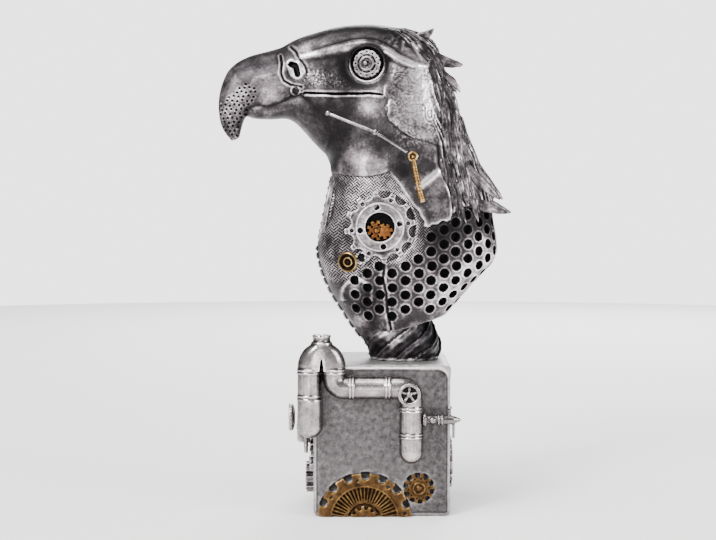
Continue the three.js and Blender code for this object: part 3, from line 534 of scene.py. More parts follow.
headAndNeck = [
    [-89.6, 132.2, -87.4, 133.2, 1.0, 2.0, 0],
    [-94.4, 138.4, -85.4, 140.8, 2.8, 2.0, 0],
    [-97.0, 146.2, -83.6, 145.6, 4.4, 2.1, 0],
    [-97.6, 154.8, -81.1, 149.9, 6.0, 2.1, -0.1],
    [-96.0, 163.9, -77.5, 152.0, 7.8, 2.2, -0.2],
    [-92.6, 172.1, -72.6, 152.6, 9.4, 2.2, -0.25],
    [-87.2, 177.9, -67.1, 150.5, 10.8, 2.2, -0.25],
    [-79.9, 181.6, -61.6, 151.0, 12.2, 2.2, -0.2],
    [-72.6, 183.7, -57.4, 152.0, 13.4, 2.2, -0.15],
    [-65.3, 185.5, -53.7, 153.0, 14.4, 2.3, -0.1],
    [-59.8, 187.3, -50.0, 152.5, 15.2, 2.3, 0],
    [-54.9, 190.1, -47.0, 149.5, 16.2, 2.4, 0],
    [-48.2, 193.1, -43.4, 143.8, 17.4, 2.4, 0.1],
    [-39.7, 195.9, -38.5, 132.2, 18.8, 2.3, 0.1],
    [-30.0, 198.7, -34.2, 126.1, 20.2, 2.3, 0.1],
    [-19.0, 200.5, -31.2, 120.0, 21.6, 2.3, 0.1],
    [-6.8, 201.0, -30.3, 114.6, 23.0, 2.3, 0.08],
    [6.6, 199.5, -30.6, 109.7, 24.4, 2.3, 0.05],
    [18.8, 196.8, -31.2, 104.8, 25.6, 2.3, 0],
    [29.7, 191.3, -31.8, 100.0, 26.6, 2.3, 0],
    [35.2, 181.6, -33.0, 93.9, 27.6, 2.3, 0],
    [38.2, 170.6, -34.8, 86.6, 28.6, 2.4, 0],
    [41.9, 159.6, -36.7, 79.2, 29.6, 2.4, 0],
    [46.8, 146.2, -38.5, 72.5, 30.4, 2.5, 0],
    [52.3, 132.8, -38.5, 65.9, 31.0, 2.5, 0],
    [57.1, 120.7, -37.3, 58.5, 31.4, 2.5, 0],
    [62.6, 108.5, -35.4, 51.8, 31.4, 2.5, 0],
    [66.3, 96.3, -33.0, 45.8, 31.2, 2.5, 0],
    [68.1, 84.1, -30.0, 39.7, 30.8, 2.5, 0],
    [69.9, 71.9, -26.3, 33.6, 30.0, 2.5, 0],
    [69.5, 62.0, -22.7, 28.1, 29.0, 2.5, 0],
    [64.0, 54.6, -19.6, 23.2, 27.8, 2.5, 0],
    [55.5, 45.5, -16.6, 19.0, 26.4, 2.5, 0],
    [47.0, 35.6, -13.5, 15.0, 24.4, 2.5, 0],
    [39.5, 27.0, -10.5, 12.0, 22.0, 2.4, 0],
]
jaw = [
    [-83.5, 151.0, -81.9, 147.4, 2.5, 2.2, 0],
    [-79.3, 153.5, -76.9, 145.8, 6.4, 2.3, 0],
    [-70.8, 156.0, -67.7, 145.3, 9.0, 2.4, 0],
    [-60.4, 159.0, -58.0, 145.9, 11.4, 2.4, 0],
    [-50.7, 164.0, -51.9, 143.2, 14.4, 2.4, 0],
    [-40.3, 168.0, -46.4, 137.7, 17.0, 2.4, 0],
    [-28.1, 170.0, -39.7, 130.4, 18.6, 2.4, 0],
    [-16.0, 168.0, -34.2, 124.9, 19.2, 2.4, 0],
]
shellOutline = [
    (-40, 116), (-30, 112.6), (-19, 110.6), (-12, 110.0), (-5.6, 110.2), (0, 111.4), (4.1, 113),
    (6, 110.6), (8.5, 107.4), (13.3, 100.5), (16, 96.5), (18.8, 92.5), (21.6, 90), (22.6, 87),
    (25.2, 83.8), (24.6, 81.2), (27.4, 80.3), (29.7, 82.3), (32.6, 82.1), (35.8, 84.6), (38.2, 83.6),
    (40.6, 84.9), (41, 88.2), (43.4, 89.9), (44, 93.4), (47.4, 94), (49.2, 92.3), (51.6, 93.2),
    (54.2, 91.1), (57.1, 91.9), (59, 94), (62.6, 93.3), (75, 92), (90, 140), (60, 215), (-60, 215),
    (-120, 190), (-120, 120), (-60, 120),
]
head = {
    "shell": 2.0,  # how far the head's shell stands over the neck
    "voxel": 0.62,
    "brow": [
        (-50, 181, 2.2), (-35.6, 183.6, 4.2), (-23.7, 186.4, 5.4), (-14, 188.2, 5.6), (-5, 187.8, 5.4),
        (2.6, 184.4, 5), (10, 180, 4.2), (19.3, 176.6, 3), (29, 175.3, 1.4),
    ],
    "mouth": [
        (-82, 151.2), (-72.6, 152.4), (-67, 153.2), (-61.6, 154.8), (-57.4, 156.8), (-53.7, 159), (-50, 160),
        (-46, 160), (-39.9, 159.8), (-27.9, 159.2), (-15.9, 159.2), (-6.9, 159.4), (0, 158.6),
    ],
    "gape": 7,
    "cere": [(-60.5, 182.2), (-59.6, 177.7), (-60.1, 171.7), (-58.2, 167.3), (-54, 164.9), (-47.8, 163.6)],
    "nostril": [(-54, 177), (-51, 175.8), (-49.9, 171.2)],
    "nostrilBoss": {"at": (-50.6, 174), "radius": 6.2},
    "rivet": (-51.3, 161.6),
    "maskEdge": [(-54.3, 187.7), (-51.3, 184.6), (-49.5, 181), (-45.8, 176.1), (-44.5, 172)],
    "eye": (-9, 177),
    "socket": {"radius": 11.0, "depth": 5.0},
    "lores": [(-46, 174), (-30, 173), (-21, 168), (-19, 163), (-47, 163.5)],
    "fold": [(22, 104), (33, 113.5)],
    "foldHighlight": [(23, 104), (33, 113)],
    "lipLevel": 159.6,
    "cheekEdge": [
        (1, 158), (3.5, 156), (1.2, 150), (4.2, 143.5), (8.5, 139.8), (16, 134), (27, 131), (36, 128),
    ],
}


def surfaceTree(*objects):
    points, faces = [], []
    for obj in objects:
        start = len(points)
        points += [v.co.copy() for v in obj.data.vertices]
        faces += [[start + i for i in face.vertices] for face in obj.data.polygons]
    return BVHTree.FromPolygons(points, faces)


def surfaceAt(tree, x, z):
    # the left surface at a side position: point and normal
    start = Vector((x * mm, -0.2, bustBase + z * mm))
    point, normal, _, _ = tree.ray_cast(start, Vector((0, 1, 0)))
    return point, normal


def surfaceBar(name, tree, line, sink=0.0, steps=24, sides=10):
    # a bar that follows the left surface through (x, z, radius)
    rows = []
    for x, z, radius in line:
        point, normal = surfaceAt(tree, x, z)
        rows.append([*(point - normal * sink * radius * mm), radius * mm])
    rows = rowsAt(rows, np.linspace(0, len(line) - 1, steps))
    return sweep(name, rows[:, :3], rows[:, 3], sides)


def headBlank():
    shell = skin("shell", sections(headAndNeck, 130, 72, head["shell"], (0, 31)))
    cutBy(shell, sideSlab("shellCut", shellOutline), "INTERSECT")
    edge = head["mouth"][: head["gape"] + 1]
    cutBy(shell, sideSlab("beakCut", [*edge, (edge[-1][0], 140), (-81, 145), (-83, 149.5)]))
    tree = surfaceTree(shell)
    brow = surfaceBar("brow", tree, head["brow"], 0.6, 30, 12)
    lower = skin("jaw", sections(jaw, 40, 40, 1.0))
    return joined("eagle_head", [shell, lower, brow, mirroredCopy(brow, "browRight")])


def headRelief(points, x, y, z, normals):
    facingSide = step(np.abs(normals[:, 1]), 0.1, 0.45)
    height = np.zeros(len(x))
    # mouth: a dark line between two raised lips
    gap, along = distanceTo(head["mouth"][head["gape"] :], x, z)
    ends = 1 - 0.6 * step(along, 0.93, 1.0)
    lip = 0.15 + 0.3 * (z < head["lipLevel"])
    height += facingSide * ends * (lip * bell(gap - 1.3, 0.6) - 1.4 * bell(gap, 0.6))
    # beak: its cere line, nostril and rivet
    gap = gapTo(head["cere"], x, z)
    height += facingSide * (0.22 * bell(gap - 1.2, 0.7) - 0.9 * bell(gap, 0.55))
    boss = head["nostrilBoss"]
    height += facingSide * 0.9 * step(-away(boss["at"], x, z), -boss["radius"], -3.8)
    gap = gapTo(head["nostril"], x, z)
    height += facingSide * (0.5 * bell(gap - 2.4, 0.6) - 3.0 * step(-gap, -1.9, -1.2))
    gap = away(head["rivet"], x, z)
    height += facingSide * (0.6 * bell(gap - 2.7, 0.6) - 0.5 * bell(gap - 1.5, 0.5) - 0.8 * bell(gap, 0.7))
    # the mask's edge behind the beak
    gap = gapTo(head["maskEdge"], x, z)
    height += 0.2 * bell(gap - 1.4, 1.1) - 0.6 * bell(gap, 0.6)
    # eye: a deep round socket under the brow, and a hollow round it
    out = away(head["eye"], x, z)
    socket = head["socket"]
    height -= facingSide * socket["depth"] * step(-out, -socket["radius"], -socket["radius"] + 1.1)
    height += facingSide * (-1.8 * bell(out - 12.5, 3.6) * step(-z, -186, -178))
    # cheek: its feathered edge stands over the smooth hollow below the mouth
    gap = gapTo(head["cheekEdge"], x, z)
    edgeX, edgeZ = zip(*head["cheekEdge"])
    behind = (x > 1) * (z > np.interp(x, edgeX, edgeZ))
    cheek = facingSide * step(x, 2, 8) * step(-x, -40, -33) * step(z, 122, 134) * step(-z, -178, -172)
    height += facingSide * (0.3 * bell(gap - 2.5, 4.0) * behind - 0.15 * bell(gap, 1.2))
    # curls: bands that wander with a slow noise
    wander = grain(points, 9.0, 3) * 9
    curls = np.sin(2 * math.pi * (x * 0.33 + z * 0.2 + wander) / 1.9)
    curlPlace = step(grain(points, 13.0, 8), -0.15, 0.25)
    feathering = 0.09 * curls * curlPlace + 0.14 * grain(points, 1.2, 9) + 0.10 * grain(points, 2.6, 10)
    height += cheek * feathering
    # pitted skin before the eye
    lores = facingSide * within(head["lores"], x, z, 2.5)
    height += lores * 0.3 * grain(points, 0.9, 5)
    # nape: strands that run down the back of the neck
    flow = strandFlow(x, y, z)
    alongStrands = np.stack([flow, 0.22 * z, np.zeros(len(x))], axis=1)
    strand = np.sin(2 * math.pi * (flow / nape["strand"] + 1.1 * grain(alongStrands, 4.0, 11)))
    height += strandPlace(x, z) * (0.6 * strand + 0.5 * grain(alongStrands, 2.2, 4))
    # crown: broken, feathery scales between the brow and the nape
    crown = step(x, -4, 12) * step(z, 184, 189)
    height += crown * 0.45 * grain(points, 2.4, 6)
    # smooth plate behind the lever, with a raised diagonal fold
    gap = gapTo(head["fold"], x, z)
    height += facingSide * 0.7 * bell(gap, 2.2)
    # slow unevenness of the casting
    height += 0.25 * grain(points, 11.0, 2)
    return height


# The nape's strands, in (height, x): the line where they begin, and the slanting axis that they run round
nape = {
    "edge": [(85, 43), (95, 42), (108, 39), (120, 34), (135, 36), (150, 34), (165, 31), (180, 26), (192, 13)],
    "axis": [(80, 18), (110, 10), (150, 0), (190, -12)],
    "radius": 32,
    "strand": 2.8,
}


def napeEdge(z):
    return np.interp(z, *zip(*nape["edge"]))


def strandPlace(x, z):
    return step(x, napeEdge(z) - 6, napeEdge(z) + 4)


def strandFlow(x, y, z):
    # distance across the strands
    axis = np.interp(z, *zip(*nape["axis"]))
    return nape["radius"] * np.arctan2(y, np.maximum(x - axis, 1))


def headTone(x, z):
    # how far the wash was rubbed off, place by place, together with painted light: the bright patches on the
    # brow, cheek, beak and throat are partly wear and partly painted highlights, and the dark ones round the
    # eye and under the jaw are partly wash and partly painted shade
    tone = np.full(len(x), 0.38)
    spots = [
        (-12, 189, 9, 0.34), (-30, 187, 8, 0.30), (-44, 184, 7, 0.24), (6, 184, 8, 0.34),
        (20, 178, 8, 0.22), (20, 160, 14, 0.26), (24, 170, 10, 0.14), (16, 146, 11, 0.20),
        (30, 150, 9, 0.14), (24, 134, 8, 0.18), (-68, 163, 12, 0.16), (-62, 158, 6, 0.12),
        (-90, 160, 7, 0.22), (-93, 148, 6, 0.12), (-7, 152, 6, 0.26), (-14, 120, 8, 0.36),
        (2, 119, 6, 0.26), (-40, 168, 7, 0.14), (-76, 178, 10, -0.16), (-58, 180, 8, -0.16),
        (-9, 177, 14, -0.30), (-30, 178, 8, -0.28), (-20, 168, 8, -0.18), (-34, 195, 12, -0.26),
        (-14, 199, 12, -0.28), (8, 199, 14, -0.26), (26, 193, 9, -0.16), (-26, 140, 13, -0.20),
        (-40, 150, 9, -0.14), (0, 130, 10, -0.22), (10, 116, 8, -0.22), (-92, 138, 8, -0.14),
        (-60, 149, 10, -0.14), (30, 90, 8, 0.06), (30, 106, 12, 0.16), (50, 120, 14, -0.10),
        (44, 158, 9, -0.12), (-20, 155, 8, -0.12), (-33, 128, 8, -0.10), (20, 98, 8, -0.08),
    ]
    addSpots(tone, spots, x, z)
    gap = gapTo(head["nostril"], x, z)
    tone += 0.26 * bell(gap - 2.9, 1.3) - 0.5 * step(-gap, -1.9, -1.2)
    # a painted highlight along the diagonal fold of the plate behind the lever
    gap = gapTo(head["foldHighlight"], x, z)
    tone += 0.40 * bell(gap, 1.8)
    # painted shade along the shell's front edge, where it stands over the neck
    gap = gapTo(shellOutline[:7], x, z)
    tone -= 0.36 * bell(gap, 1.0)
    # painted shadow of the brow over the upper part of the eye's socket
    tone -= 0.5 * bell(away(head["eye"], x, z) - 11.2, 1.5) * step(z, 170, 176)
    tone -= 0.06 * strandPlace(x, z)
    gap = gapTo(head["mouth"][head["gape"] :], x, z)
    return tone + 0.16 * (z < head["lipLevel"]) * bell(gap - 1.3, 0.7) - 0.3 * bell(gap, 0.5)


# Small round pits near the beak's tip, in staggered rows
pits = {"pitch": 2.95, "radius": 0.72, "depth": 0.75, "stray": 0.45, "behind": -71, "below": 168}
pitOutline = [
    (-98.5, 153), (-95, 156.5), (-88.6, 161.5), (-82, 166.5), (-75, 163), (-74, 157.5), (-79.5, 151.8),
    (-83.5, 147), (-85.5, 139.8), (-86.5, 130), (-100, 130),
]


def pitRelief(x, z, normals):
    rowStep = pits["pitch"] * math.sqrt(3) / 2
    row = np.round(z / rowStep)
    shift = np.where(row % 2 == 0, 0, pits["pitch"] / 2)
    column = np.round((x - shift) / pits["pitch"]) * pits["pitch"] + shift
    strayX = pits["stray"] * np.sin(12.9 * column + 4.1 * row)
    strayZ = pits["stray"] * np.sin(7.7 * column + 9.3 * row)
    gap = np.hypot(x - column - strayX, z - row * rowStep - strayZ)
    rowInside = insideOf(pitOutline, column, row * rowStep) & (np.abs(normals[:, 1]) > 0.3)
    return np.where(rowInside, -step(-gap, -pits["radius"] - 0.3, -pits["radius"] + 0.35), 0)


def refineBeak(obj):
    # the pits are small, so the beak's tip gets finer faces
    work = bmesh.new()
    work.from_mesh(obj.data)
    back, top = pits["behind"] * mm, bustBase + pits["below"] * mm
    near = [edge for edge in work.edges if all(v.co.x < back and v.co.z < top for v in edge.verts)]
    bmesh.ops.subdivide_edges(work, edges=near, cuts=1, use_grid_fill=True)
    work.to_mesh(obj.data)
    work.free()


def makeHead(obj):
    remeshed(obj, head["voxel"])
    modified(obj, "SMOOTH", factor=0.5, iterations=4)
    refineBeak(obj)
    x, y, z = bustPlaces(obj)
    points = np.stack([x, y, z], axis=1)
    normals = readPoints(obj, "normal")
    raiseBy(obj, headRelief(points, x, y, z, normals))
    pitted = pitRelief(x, z, normals)
    raiseBy(obj, pits["depth"] * pitted)
    paintRelief(obj, more=1.2 * pitted)
    paint(obj, "tone", headTone(x, z))
    return lightened(obj)


eagleHead = headBlank()
# the neck's skin is cut to length and carved further on
eagleNeck = skin("eagle_neck", sections(headAndNeck, 130, 72))
bareTree = surfaceTree(eagleHead, eagleNeck)
makeHead(eagleHead)
dress(eagleHead, silver, ["eagle_bust"], angle=60)
print("head", len(eagleHead.data.polygons))


# The neck: a basket-woven band above a perforated sheet, with a strap, a seam and its seats

neck = {
    "voxel": 0.68,
    "top": 124,
    "holeRadius": 2.8,
    "holePitch": 8.6,
    "holeDepth": 3.2,
    "holesFrom": 23,
    "holeRows": 17,
    "rimWidth": 0.75,
    "sheetCentre": 14,
    "sheetRadius": 34,
    "perforated": [
        (-3, 58), (12, 58), (24, 64), (27, 77), (36, 81), (41.5, 82), (44, 89), (52, 89), (58, 88),
        (64, 90), (80, 89), (80, 64), (68, 57.5), (59, 50), (50, 41), (43, 32.5), (36, 29), (2, 25),
        (-7, 22), (-15, 26), (-20, 36), (-20, 47), (-14, 51), (-8, 55),
    ],
    "seam": [(1.5, 58), (0.6, 50), (2.6, 41), (3.4, 30), (6, 17)],
    "ringPlate": {"at": (-14.7, 40.3), "radius": 8.8, "above": 36},
    "eyelet": (-12, 62.2),
    "strapWidth": 8.6,
    "strapPitch": 5.2,
    "triangles": 158000,
}
porthole = {
    "x": -1.2, "z": 80.6, "seat": 30.2, "plateRadius": 21, "teeth": 12, "plate": 2.0,
    "toothDepth": 4.0, "bite": 3.9, "turn": 0.13, "holeCircle": 16.7, "hole": 1.15,
    "flangeRadius": 14.6, "bore": 8.6, "flange": 2.6, "boltCircle": 11.8, "boltHole": 1.75, "boltTurn": 0.17,
    "well": 4.2, "gap": 0.3,
}
chestDisc = {
    "radius": 20.5, "thickness": 3.0, "x": -34.4, "z": 91.5, "rise": 0.2, "spokes": 10, "rivets": 20,
}
chestOut = Vector((-1, 0, chestDisc["rise"])).normalized()
chestAt = Vector((chestDisc["x"] * mm, 0, bustBase + chestDisc["z"] * mm))
portholeOut = Vector((0, -1, 0))
portholeAt = Vector((porthole["x"] * mm, -porthole["seat"] * mm, bustBase + porthole["z"] * mm))


def turned(name, profile, sides=48, point=(0, 0, 0), direction=(0, 0, 1)):
    # a lathe-turned piece: its profile of (radius, height) in mm is spun round the direction
    mesh = bpy.data.meshes.new(name)
    edges = [(i, i + 1) for i in range(len(profile) - 1)]
    mesh.from_pydata([(radius * mm, 0, height * mm) for radius, height in profile], edges, [])
    obj = bpy.data.objects.new(name, mesh)
    bpy.context.scene.collection.objects.link(obj)
    selectOnly(obj)
    bpy.ops.object.mode_set(mode="EDIT")
    bpy.ops.mesh.select_all(action="SELECT")
    bpy.ops.mesh.spin(steps=sides, angle=2 * math.pi, center=(0, 0, 0), axis=(0, 0, 1))
    bpy.ops.object.mode_set(mode="OBJECT")
    facesOutward(obj, 0.005)
    return placed(obj, point, direction)


def ringBlock(name, inner, outer, low, high, sides=96):
    # a plain ring in local mm
    return turned(name, [(inner, low), (outer, low), (outer, high), (inner, high), (inner, low)], sides)


def disc(radius, low, high, sides=32, x=0.0, y=0.0):
    # a plain cylinder in local mm, used as a blank or as a cutter
    centre = (x * mm, y * mm, (low + high) / 2 * mm)
    bpy.ops.mesh.primitive_cylinder_add(
        vertices=sides, radius=radius * mm, depth=(high - low) * mm, location=centre
    )
    return settled(bpy.context.object)


def block(wide, deep, low, high, x=0.0, y=0.0, turn=0.0):
    # a plain bar in local mm, turned round local Z
    bpy.ops.mesh.primitive_cube_add(size=1, location=(0, 0, (low + high) / 2 * mm))
    obj = bpy.context.object
    obj.scale = (wide * mm, deep * mm, (high - low) * mm)
    bpy.context.view_layer.update()
    settled(obj)
    obj.data.transform(Matrix.Rotation(turn, 4, "Z") @ Matrix.Translation((x * mm, y * mm, 0)))
    return obj


def ringOf(count, radius, turn=0.0):
    return [
        (radius * math.cos(turn + 2 * math.pi * i / count), radius * math.sin(turn + 2 * math.pi * i / count))
        for i in range(count)
    ]


def cast(obj, voxelMm, rounds=2, fineMm=0.10, broadMm=0.35, tone=0.5, keep=0.45):
    # one skin over the joined forms, softened like a casting, with its wash painted from its relief
    remeshed(obj, voxelMm)
    modified(obj, "SMOOTH", factor=0.5, iterations=rounds)
    paintRelief(obj, fine=4, broad=24, fineMm=fineMm, broadMm=broadMm)
    paint(obj, "tone", np.full(len(obj.data.vertices), tone))
    return lightened(obj, keep * trianglesOf(obj))


def holePlaces(tree):
    # staggered columns of holes: rows half a pitch apart, walked both ways from the middle of the side
    centre = Vector((neck["sheetCentre"] * mm, 0, bustBase))
    rowStep, apart = neck["holePitch"] / 2, neck["holePitch"] * math.sqrt(3)
    degreesApart = 1.25
    places = []
    for row in range(neck["holeRows"]):
        z = neck["holesFrom"] + row * rowStep
        first = apart / 2 if row % 2 else 0
        for way in (-1, 1):
            following = apart if way > 0 and first == 0 else first
            walked, before, degrees = 0, None, 90
            while 0 < degrees < 180:
                angle = math.radians(degrees)
                degrees += degreesApart * way
                ray = Vector((math.cos(angle), -math.sin(angle), 0))
                start = centre + Vector((0, 0, z * mm)) + ray * 0.2
                point, normal, _, _ = tree.ray_cast(start, -ray)
                if point is None:
                    continue
                if before is not None:
                    walked += (point - before).length / mm
                before = point
                if walked < following:
                    continue
                following += apart
                clear = point.y < -neck["holeRadius"] * 0.9 * mm
                if clear and insideOf(neck["perforated"], np.array([point.x / mm]), np.array([z]))[0]:
                    places.append((point, normal))
    return places


def neckRelief(obj, places):
    points, normals = readPoints(obj) / mm, readPoints(obj, "normal")
    x, y, z = bustPlaces(obj)
    height = np.zeros(len(x))
    facingSide = step(np.abs(normals[:, 1]), 0.15, 0.5)
    # light rims round the holes
    centres = np.array([[p.x / mm, abs(p.y / mm), p.z / mm] for p, _ in places])
    mirroredPoints = np.stack([points[:, 0], np.abs(points[:, 1]), points[:, 2]], axis=1)
    nearest = np.full(len(x), 1e9)
    for centre in centres:
        nearest = np.minimum(nearest, np.linalg.norm(mirroredPoints - centre, axis=1))
    rim = bell(nearest - neck["holeRadius"] - 0.55, neck["rimWidth"] * 0.7)
    height += 0.15 * rim
    # the seam down the sheet
    gap = gapTo(neck["seam"], x, z)
    height += facingSide * (0.15 * bell(gap - 1.5, 0.7) - 0.7 * bell(gap, 0.6))
    # the plate under the boss, and the eyelet above it
    plate = neck["ringPlate"]
    onSide = step(-normals[:, 0], -0.9, 0.2)
    gap = away(plate["at"], x, z) - plate["radius"]
    height += onSide * 0.8 * bell(gap, 1.5) * (z > plate["above"])
    gap = away(neck["eyelet"], x, z)
    height += facingSide * (0.5 * bell(gap - 3.1, 0.7) - 1.8 * step(-gap, -2.6, -1.9))
    # the strap of square blocks down the front of the chest
    half = neck["strapWidth"] / 2
    strap = step(-normals[:, 0], 0.15, 0.4) * step(-y, -half - 0.4, -half + 0.2)
    strap *= step(z, 8, 10) * step(-z, -69, -67)
    rung = np.abs(np.mod(z, neck["strapPitch"]) - neck["strapPitch"] / 2)
    height += strap * (1.3 * step(rung, 0.4, 0.95) + 0.2)
    # unevenness of the sheet
    height += 0.25 * grain(points, 8.0, 21)
    return height, nearest


def neckTone(x, y, z, nearest, points):
    tone = np.full(len(x), 0.36) + 0.02 * within(neck["perforated"], x, z, 3)
    # lighter and darker patches; the dark ones at the front edge and under the head's torn edge are painted
    # shade
    spots = [
        (-30, 88, 12, 0.06), (-6, 106, 12, 0.10), (10, 100, 10, 0.04), (-28, 60, 9, 0.04),
        (-15.5, 48, 5, 0.34), (-30, 70, 12, -0.16), (56, 86, 10, -0.12), (66, 68, 10, 0.26),
        (54, 54, 11, 0.26), (40, 40, 10, 0.30), (24, 44, 10, 0.12), (34, 78, 12, -0.24),
        (-10, 70, 7, -0.06), (-14, 34, 7, -0.14), (-2, 40, 7, -0.12), (-12, 22, 6, 0.16),
        (14, 60, 8, 0.12),
    ]
    addSpots(tone, spots, x, z)
    rim = bell(nearest - neck["holeRadius"] - 0.4, 0.5)
    tone += 0.06 * rim + 0.12 * grain(points, 5.0, 31)
    # painted shade round the porthole's seat and down its bore, and under the head's torn edge
    fromPorthole = away((porthole["x"], porthole["z"]), x, z)
    seat = step(-fromPorthole, -porthole["plateRadius"] - 1.2, -porthole["plateRadius"])
    tone -= 0.06 * seat * (y < porthole["seat"] + 0.5)
    tone -= 0.6 * step(-fromPorthole, -porthole["bore"] - 1.6, -porthole["bore"] - 0.8)
    return tone - 0.16 * step(x, 22, 30) * step(z, 72, 88)


def makeNeck(obj):
    cutBy(obj, sideSlab("neckCut", [(-60, -5), (95, -5), (95, neck["top"]), (-60, neck["top"])]), "INTERSECT")
    places = holePlaces(surfaceTree(obj))
    r, back = chestDisc["radius"], -chestDisc["thickness"]
    behindDisc = [(0, back - 20), (0.5 * r, back - 20), (0.95 * r, back), (0, back)]
    obj = joined("eagle_neck", [obj, turned("chestBlock", behindDisc, 48, chestAt, chestOut)])
    remeshed(obj, neck["voxel"])
    gap = porthole["gap"]
    seat = [(0, back - gap), (r + gap, back - gap), (r + gap, 30), (0, 30)]
    cutBy(obj, turned("chestSeat", seat, 64, chestAt, chestOut))
    wide = porthole["plateRadius"] + 2 * gap
    pocket = turned("pocket", [(0, 0), (wide, 0), (wide, 30), (0, 30)], 64, portholeAt, portholeOut)
    wide, floor = porthole["bore"] + 0.9, -porthole["well"]
    well = turned("well", [(0, floor), (wide, floor), (wide, 1), (0, 1)], 48, portholeAt, portholeOut)
    for cutter in (pocket, well):
        cutBy(obj, mirroredCopy(cutter, cutter.name + "Right"))
        cutBy(obj, cutter)
    remeshed(obj, neck["voxel"])
    modified(obj, "SMOOTH", factor=0.5, iterations=2)
    height, nearest = neckRelief(obj, places)
    raiseBy(obj, height)
    x, y, z = bustPlaces(obj)
    points = np.stack([x, y, z], axis=1)
    paintRelief(obj)
    # the weave fills all but the perforated sheet, the foot of the neck and the strap
    bare = (1 - within(neck["perforated"], x, z, 1.5)) * step(z, 44, 50)
    strap = step(-y, -5.4, -4.6) * step(-z, -72, -68)
    weaving = np.clip(bare - strap, 0, 1)
    paint(obj, "weave", weaving)
    paint(obj, "tone", neckTone(x, y, z, nearest, points) - weave["shade"] * weaving)
    turn = np.arctan2(y, neck["sheetCentre"] - x)
    paint(obj, "around", neck["sheetRadius"] * turn)
    paint(obj, "height", z)
    lightened(obj, neck["triangles"])
    return drilled(obj, places)


def drilled(obj, places):
    # the holes' walls and floors take the second material, the painted shade of the unlit inside
    drills = []
    for point, normal in places:
        drill = disc(neck["holeRadius"], -neck["holeDepth"], 2.5, 14)
        drills.append(placed(drill, point, normal))
    print("holes on each side", len(drills))
    cutters = joined("drills", drills)
    right = mirroredCopy(cutters, "drillsRight")
    for target in (obj, cutters, right):
        target.data.materials.clear()
        target.data.materials.append(meshSilver)
        target.data.materials.append(black)
    for cutter in (cutters, right):
        cutter.data.polygons.foreach_set("material_index", [1] * len(cutter.data.polygons))
        cutBy(obj, cutter)
    return obj


eagleNeck = makeNeck(eagleNeck)
dressAsIs(eagleNeck, ["eagle_bust"])
print("neck", len(eagleNeck.data.polygons))

# The foot: a roll of blackened sheet, wrapped round and round

footRows = [
    [35.0, 0.0, -7.0, 0.0, 21.0, 2.4, 0],
    [36.8, 6.0, -8.0, 6.0, 22.4, 2.4, 0],
    [34.8, 14.0, -12.0, 13.0, 22.4, 2.4, 0],
    [30.5, 24.0, -16.0, 20.0, 21.4, 2.4, 0],
    [28.0, 36.0, -20.0, 30.0, 19.0, 2.4, 0],
]
wrap = {"band": 11.5, "rise": -0.75, "height": 1.7, "centre": 13, "radius": 24}


def makeFoot():
    obj = skin("eagle_foot", sections(footRows, 40, 72, -0.4))
    remeshed(obj, 0.7)
    modified(obj, "SMOOTH", factor=0.5, iterations=2)
    points, normals = readPoints(obj) / mm, readPoints(obj, "normal")
    x, _, z = bustPlaces(obj)
    turn = np.arctan2(points[:, 1], points[:, 0] - wrap["centre"])
    phase = (z + wrap["rise"] * wrap["radius"] * turn + 1.5 * grain(points, 14, 41)) / wrap["band"]
    fold = np.mod(phase, 1)
    height = wrap["height"] * (fold**1.5 - 0.5) * step(z, 0.5, 2.5)
    height += 0.35 * np.sin(2 * math.pi * fold * 2) * fold
    height += 0.5 * grain(points, 4.0, 43)
    raiseBy(obj, step(np.hypot(normals[:, 0], normals[:, 1]), 0.3, 0.6) * height)
    paintRelief(obj, fineMm=0.14, broadMm=0.5)
    # a painted highlight along the foot's bottom edge and on the bulge in the middle, and darker towards the
    # back
    tone = 0.34 + 0.4 * bell(z - 0.6, 0.9) + 0.12 * grain(points, 6.0, 44)
    tone += 0.5 * bell(away((6, 17), x, z), 8) - 0.14 * step(x, 20, 27)
    paint(obj, "tone", tone)
    return lightened(obj)


dress(makeFoot(), darkWrap, ["eagle_bust"], angle=50)
print("foot")

# The eyes: a toothed iris behind a ring-shaped lid

eye = {"at": head["eye"], "gaze": (-0.22, -1, 0.04), "raised": 1.2, "iris": 8.6, "teeth": 12, "lid": 10.6}


def makeEye(seat):
    r = eye["iris"]
    out = Vector(eye["gaze"]).normalized()
    ball = turned(
        "iris",
        [
            (0, -6), (0.98 * r, -6), (0.98 * r, -2.2), (0.94 * r, -1.4), (0.66 * r, -1.2),
            (0.6 * r, -2.2), (0.55 * r, -2.2), (0.52 * r, -0.2), (0.44 * r, 0.2), (0.36 * r, -0.2),
            (0.34 * r, -1.6), (0.22 * r, -1.6), (0.2 * r, -3), (0, -3),
        ],
        64,
    )
    bites = [disc(0.9, -8, 3, 16, x, y) for x, y in ringOf(eye["teeth"], r + 0.1, 0.26)]
    holes = [disc(0.55, -3.2, 3, 12, x, y) for x, y in ringOf(eye["teeth"], 0.8 * r)]
    cutBy(ball, joined("bites", bites + holes))
    spokes = [block(2.6, 0.9, -2.6, -0.9, 0.45 * r, 0, turn) for turn in np.arange(6) * math.pi / 3]
    stud = disc(1.1, -4, -0.9, 16, -0.9, 0.3)
    ball = joined("eye", [ball, stud, *spokes])
    cast(ball, 0.22)
    placed(ball, seat, out)
    inner, outer = eye["lid"] - 0.7, eye["lid"] + 0.5
    profile = [(inner, -5), (outer, -5), (outer, -2), (eye["lid"], -1.4), (inner, -2), (inner, -5)]
    lid = turned("lid", profile, 96)
    cast(lid, 0.3)
    placed(lid, seat, out)
    x, _, z = bustPlaces(lid)
    # painted shadow of the brow: the lid is dark above and light below
    paint(lid, "tone", 0.08 + 0.6 * step(eye["at"][1] - z, -5, 7))
    return [ball, lid]


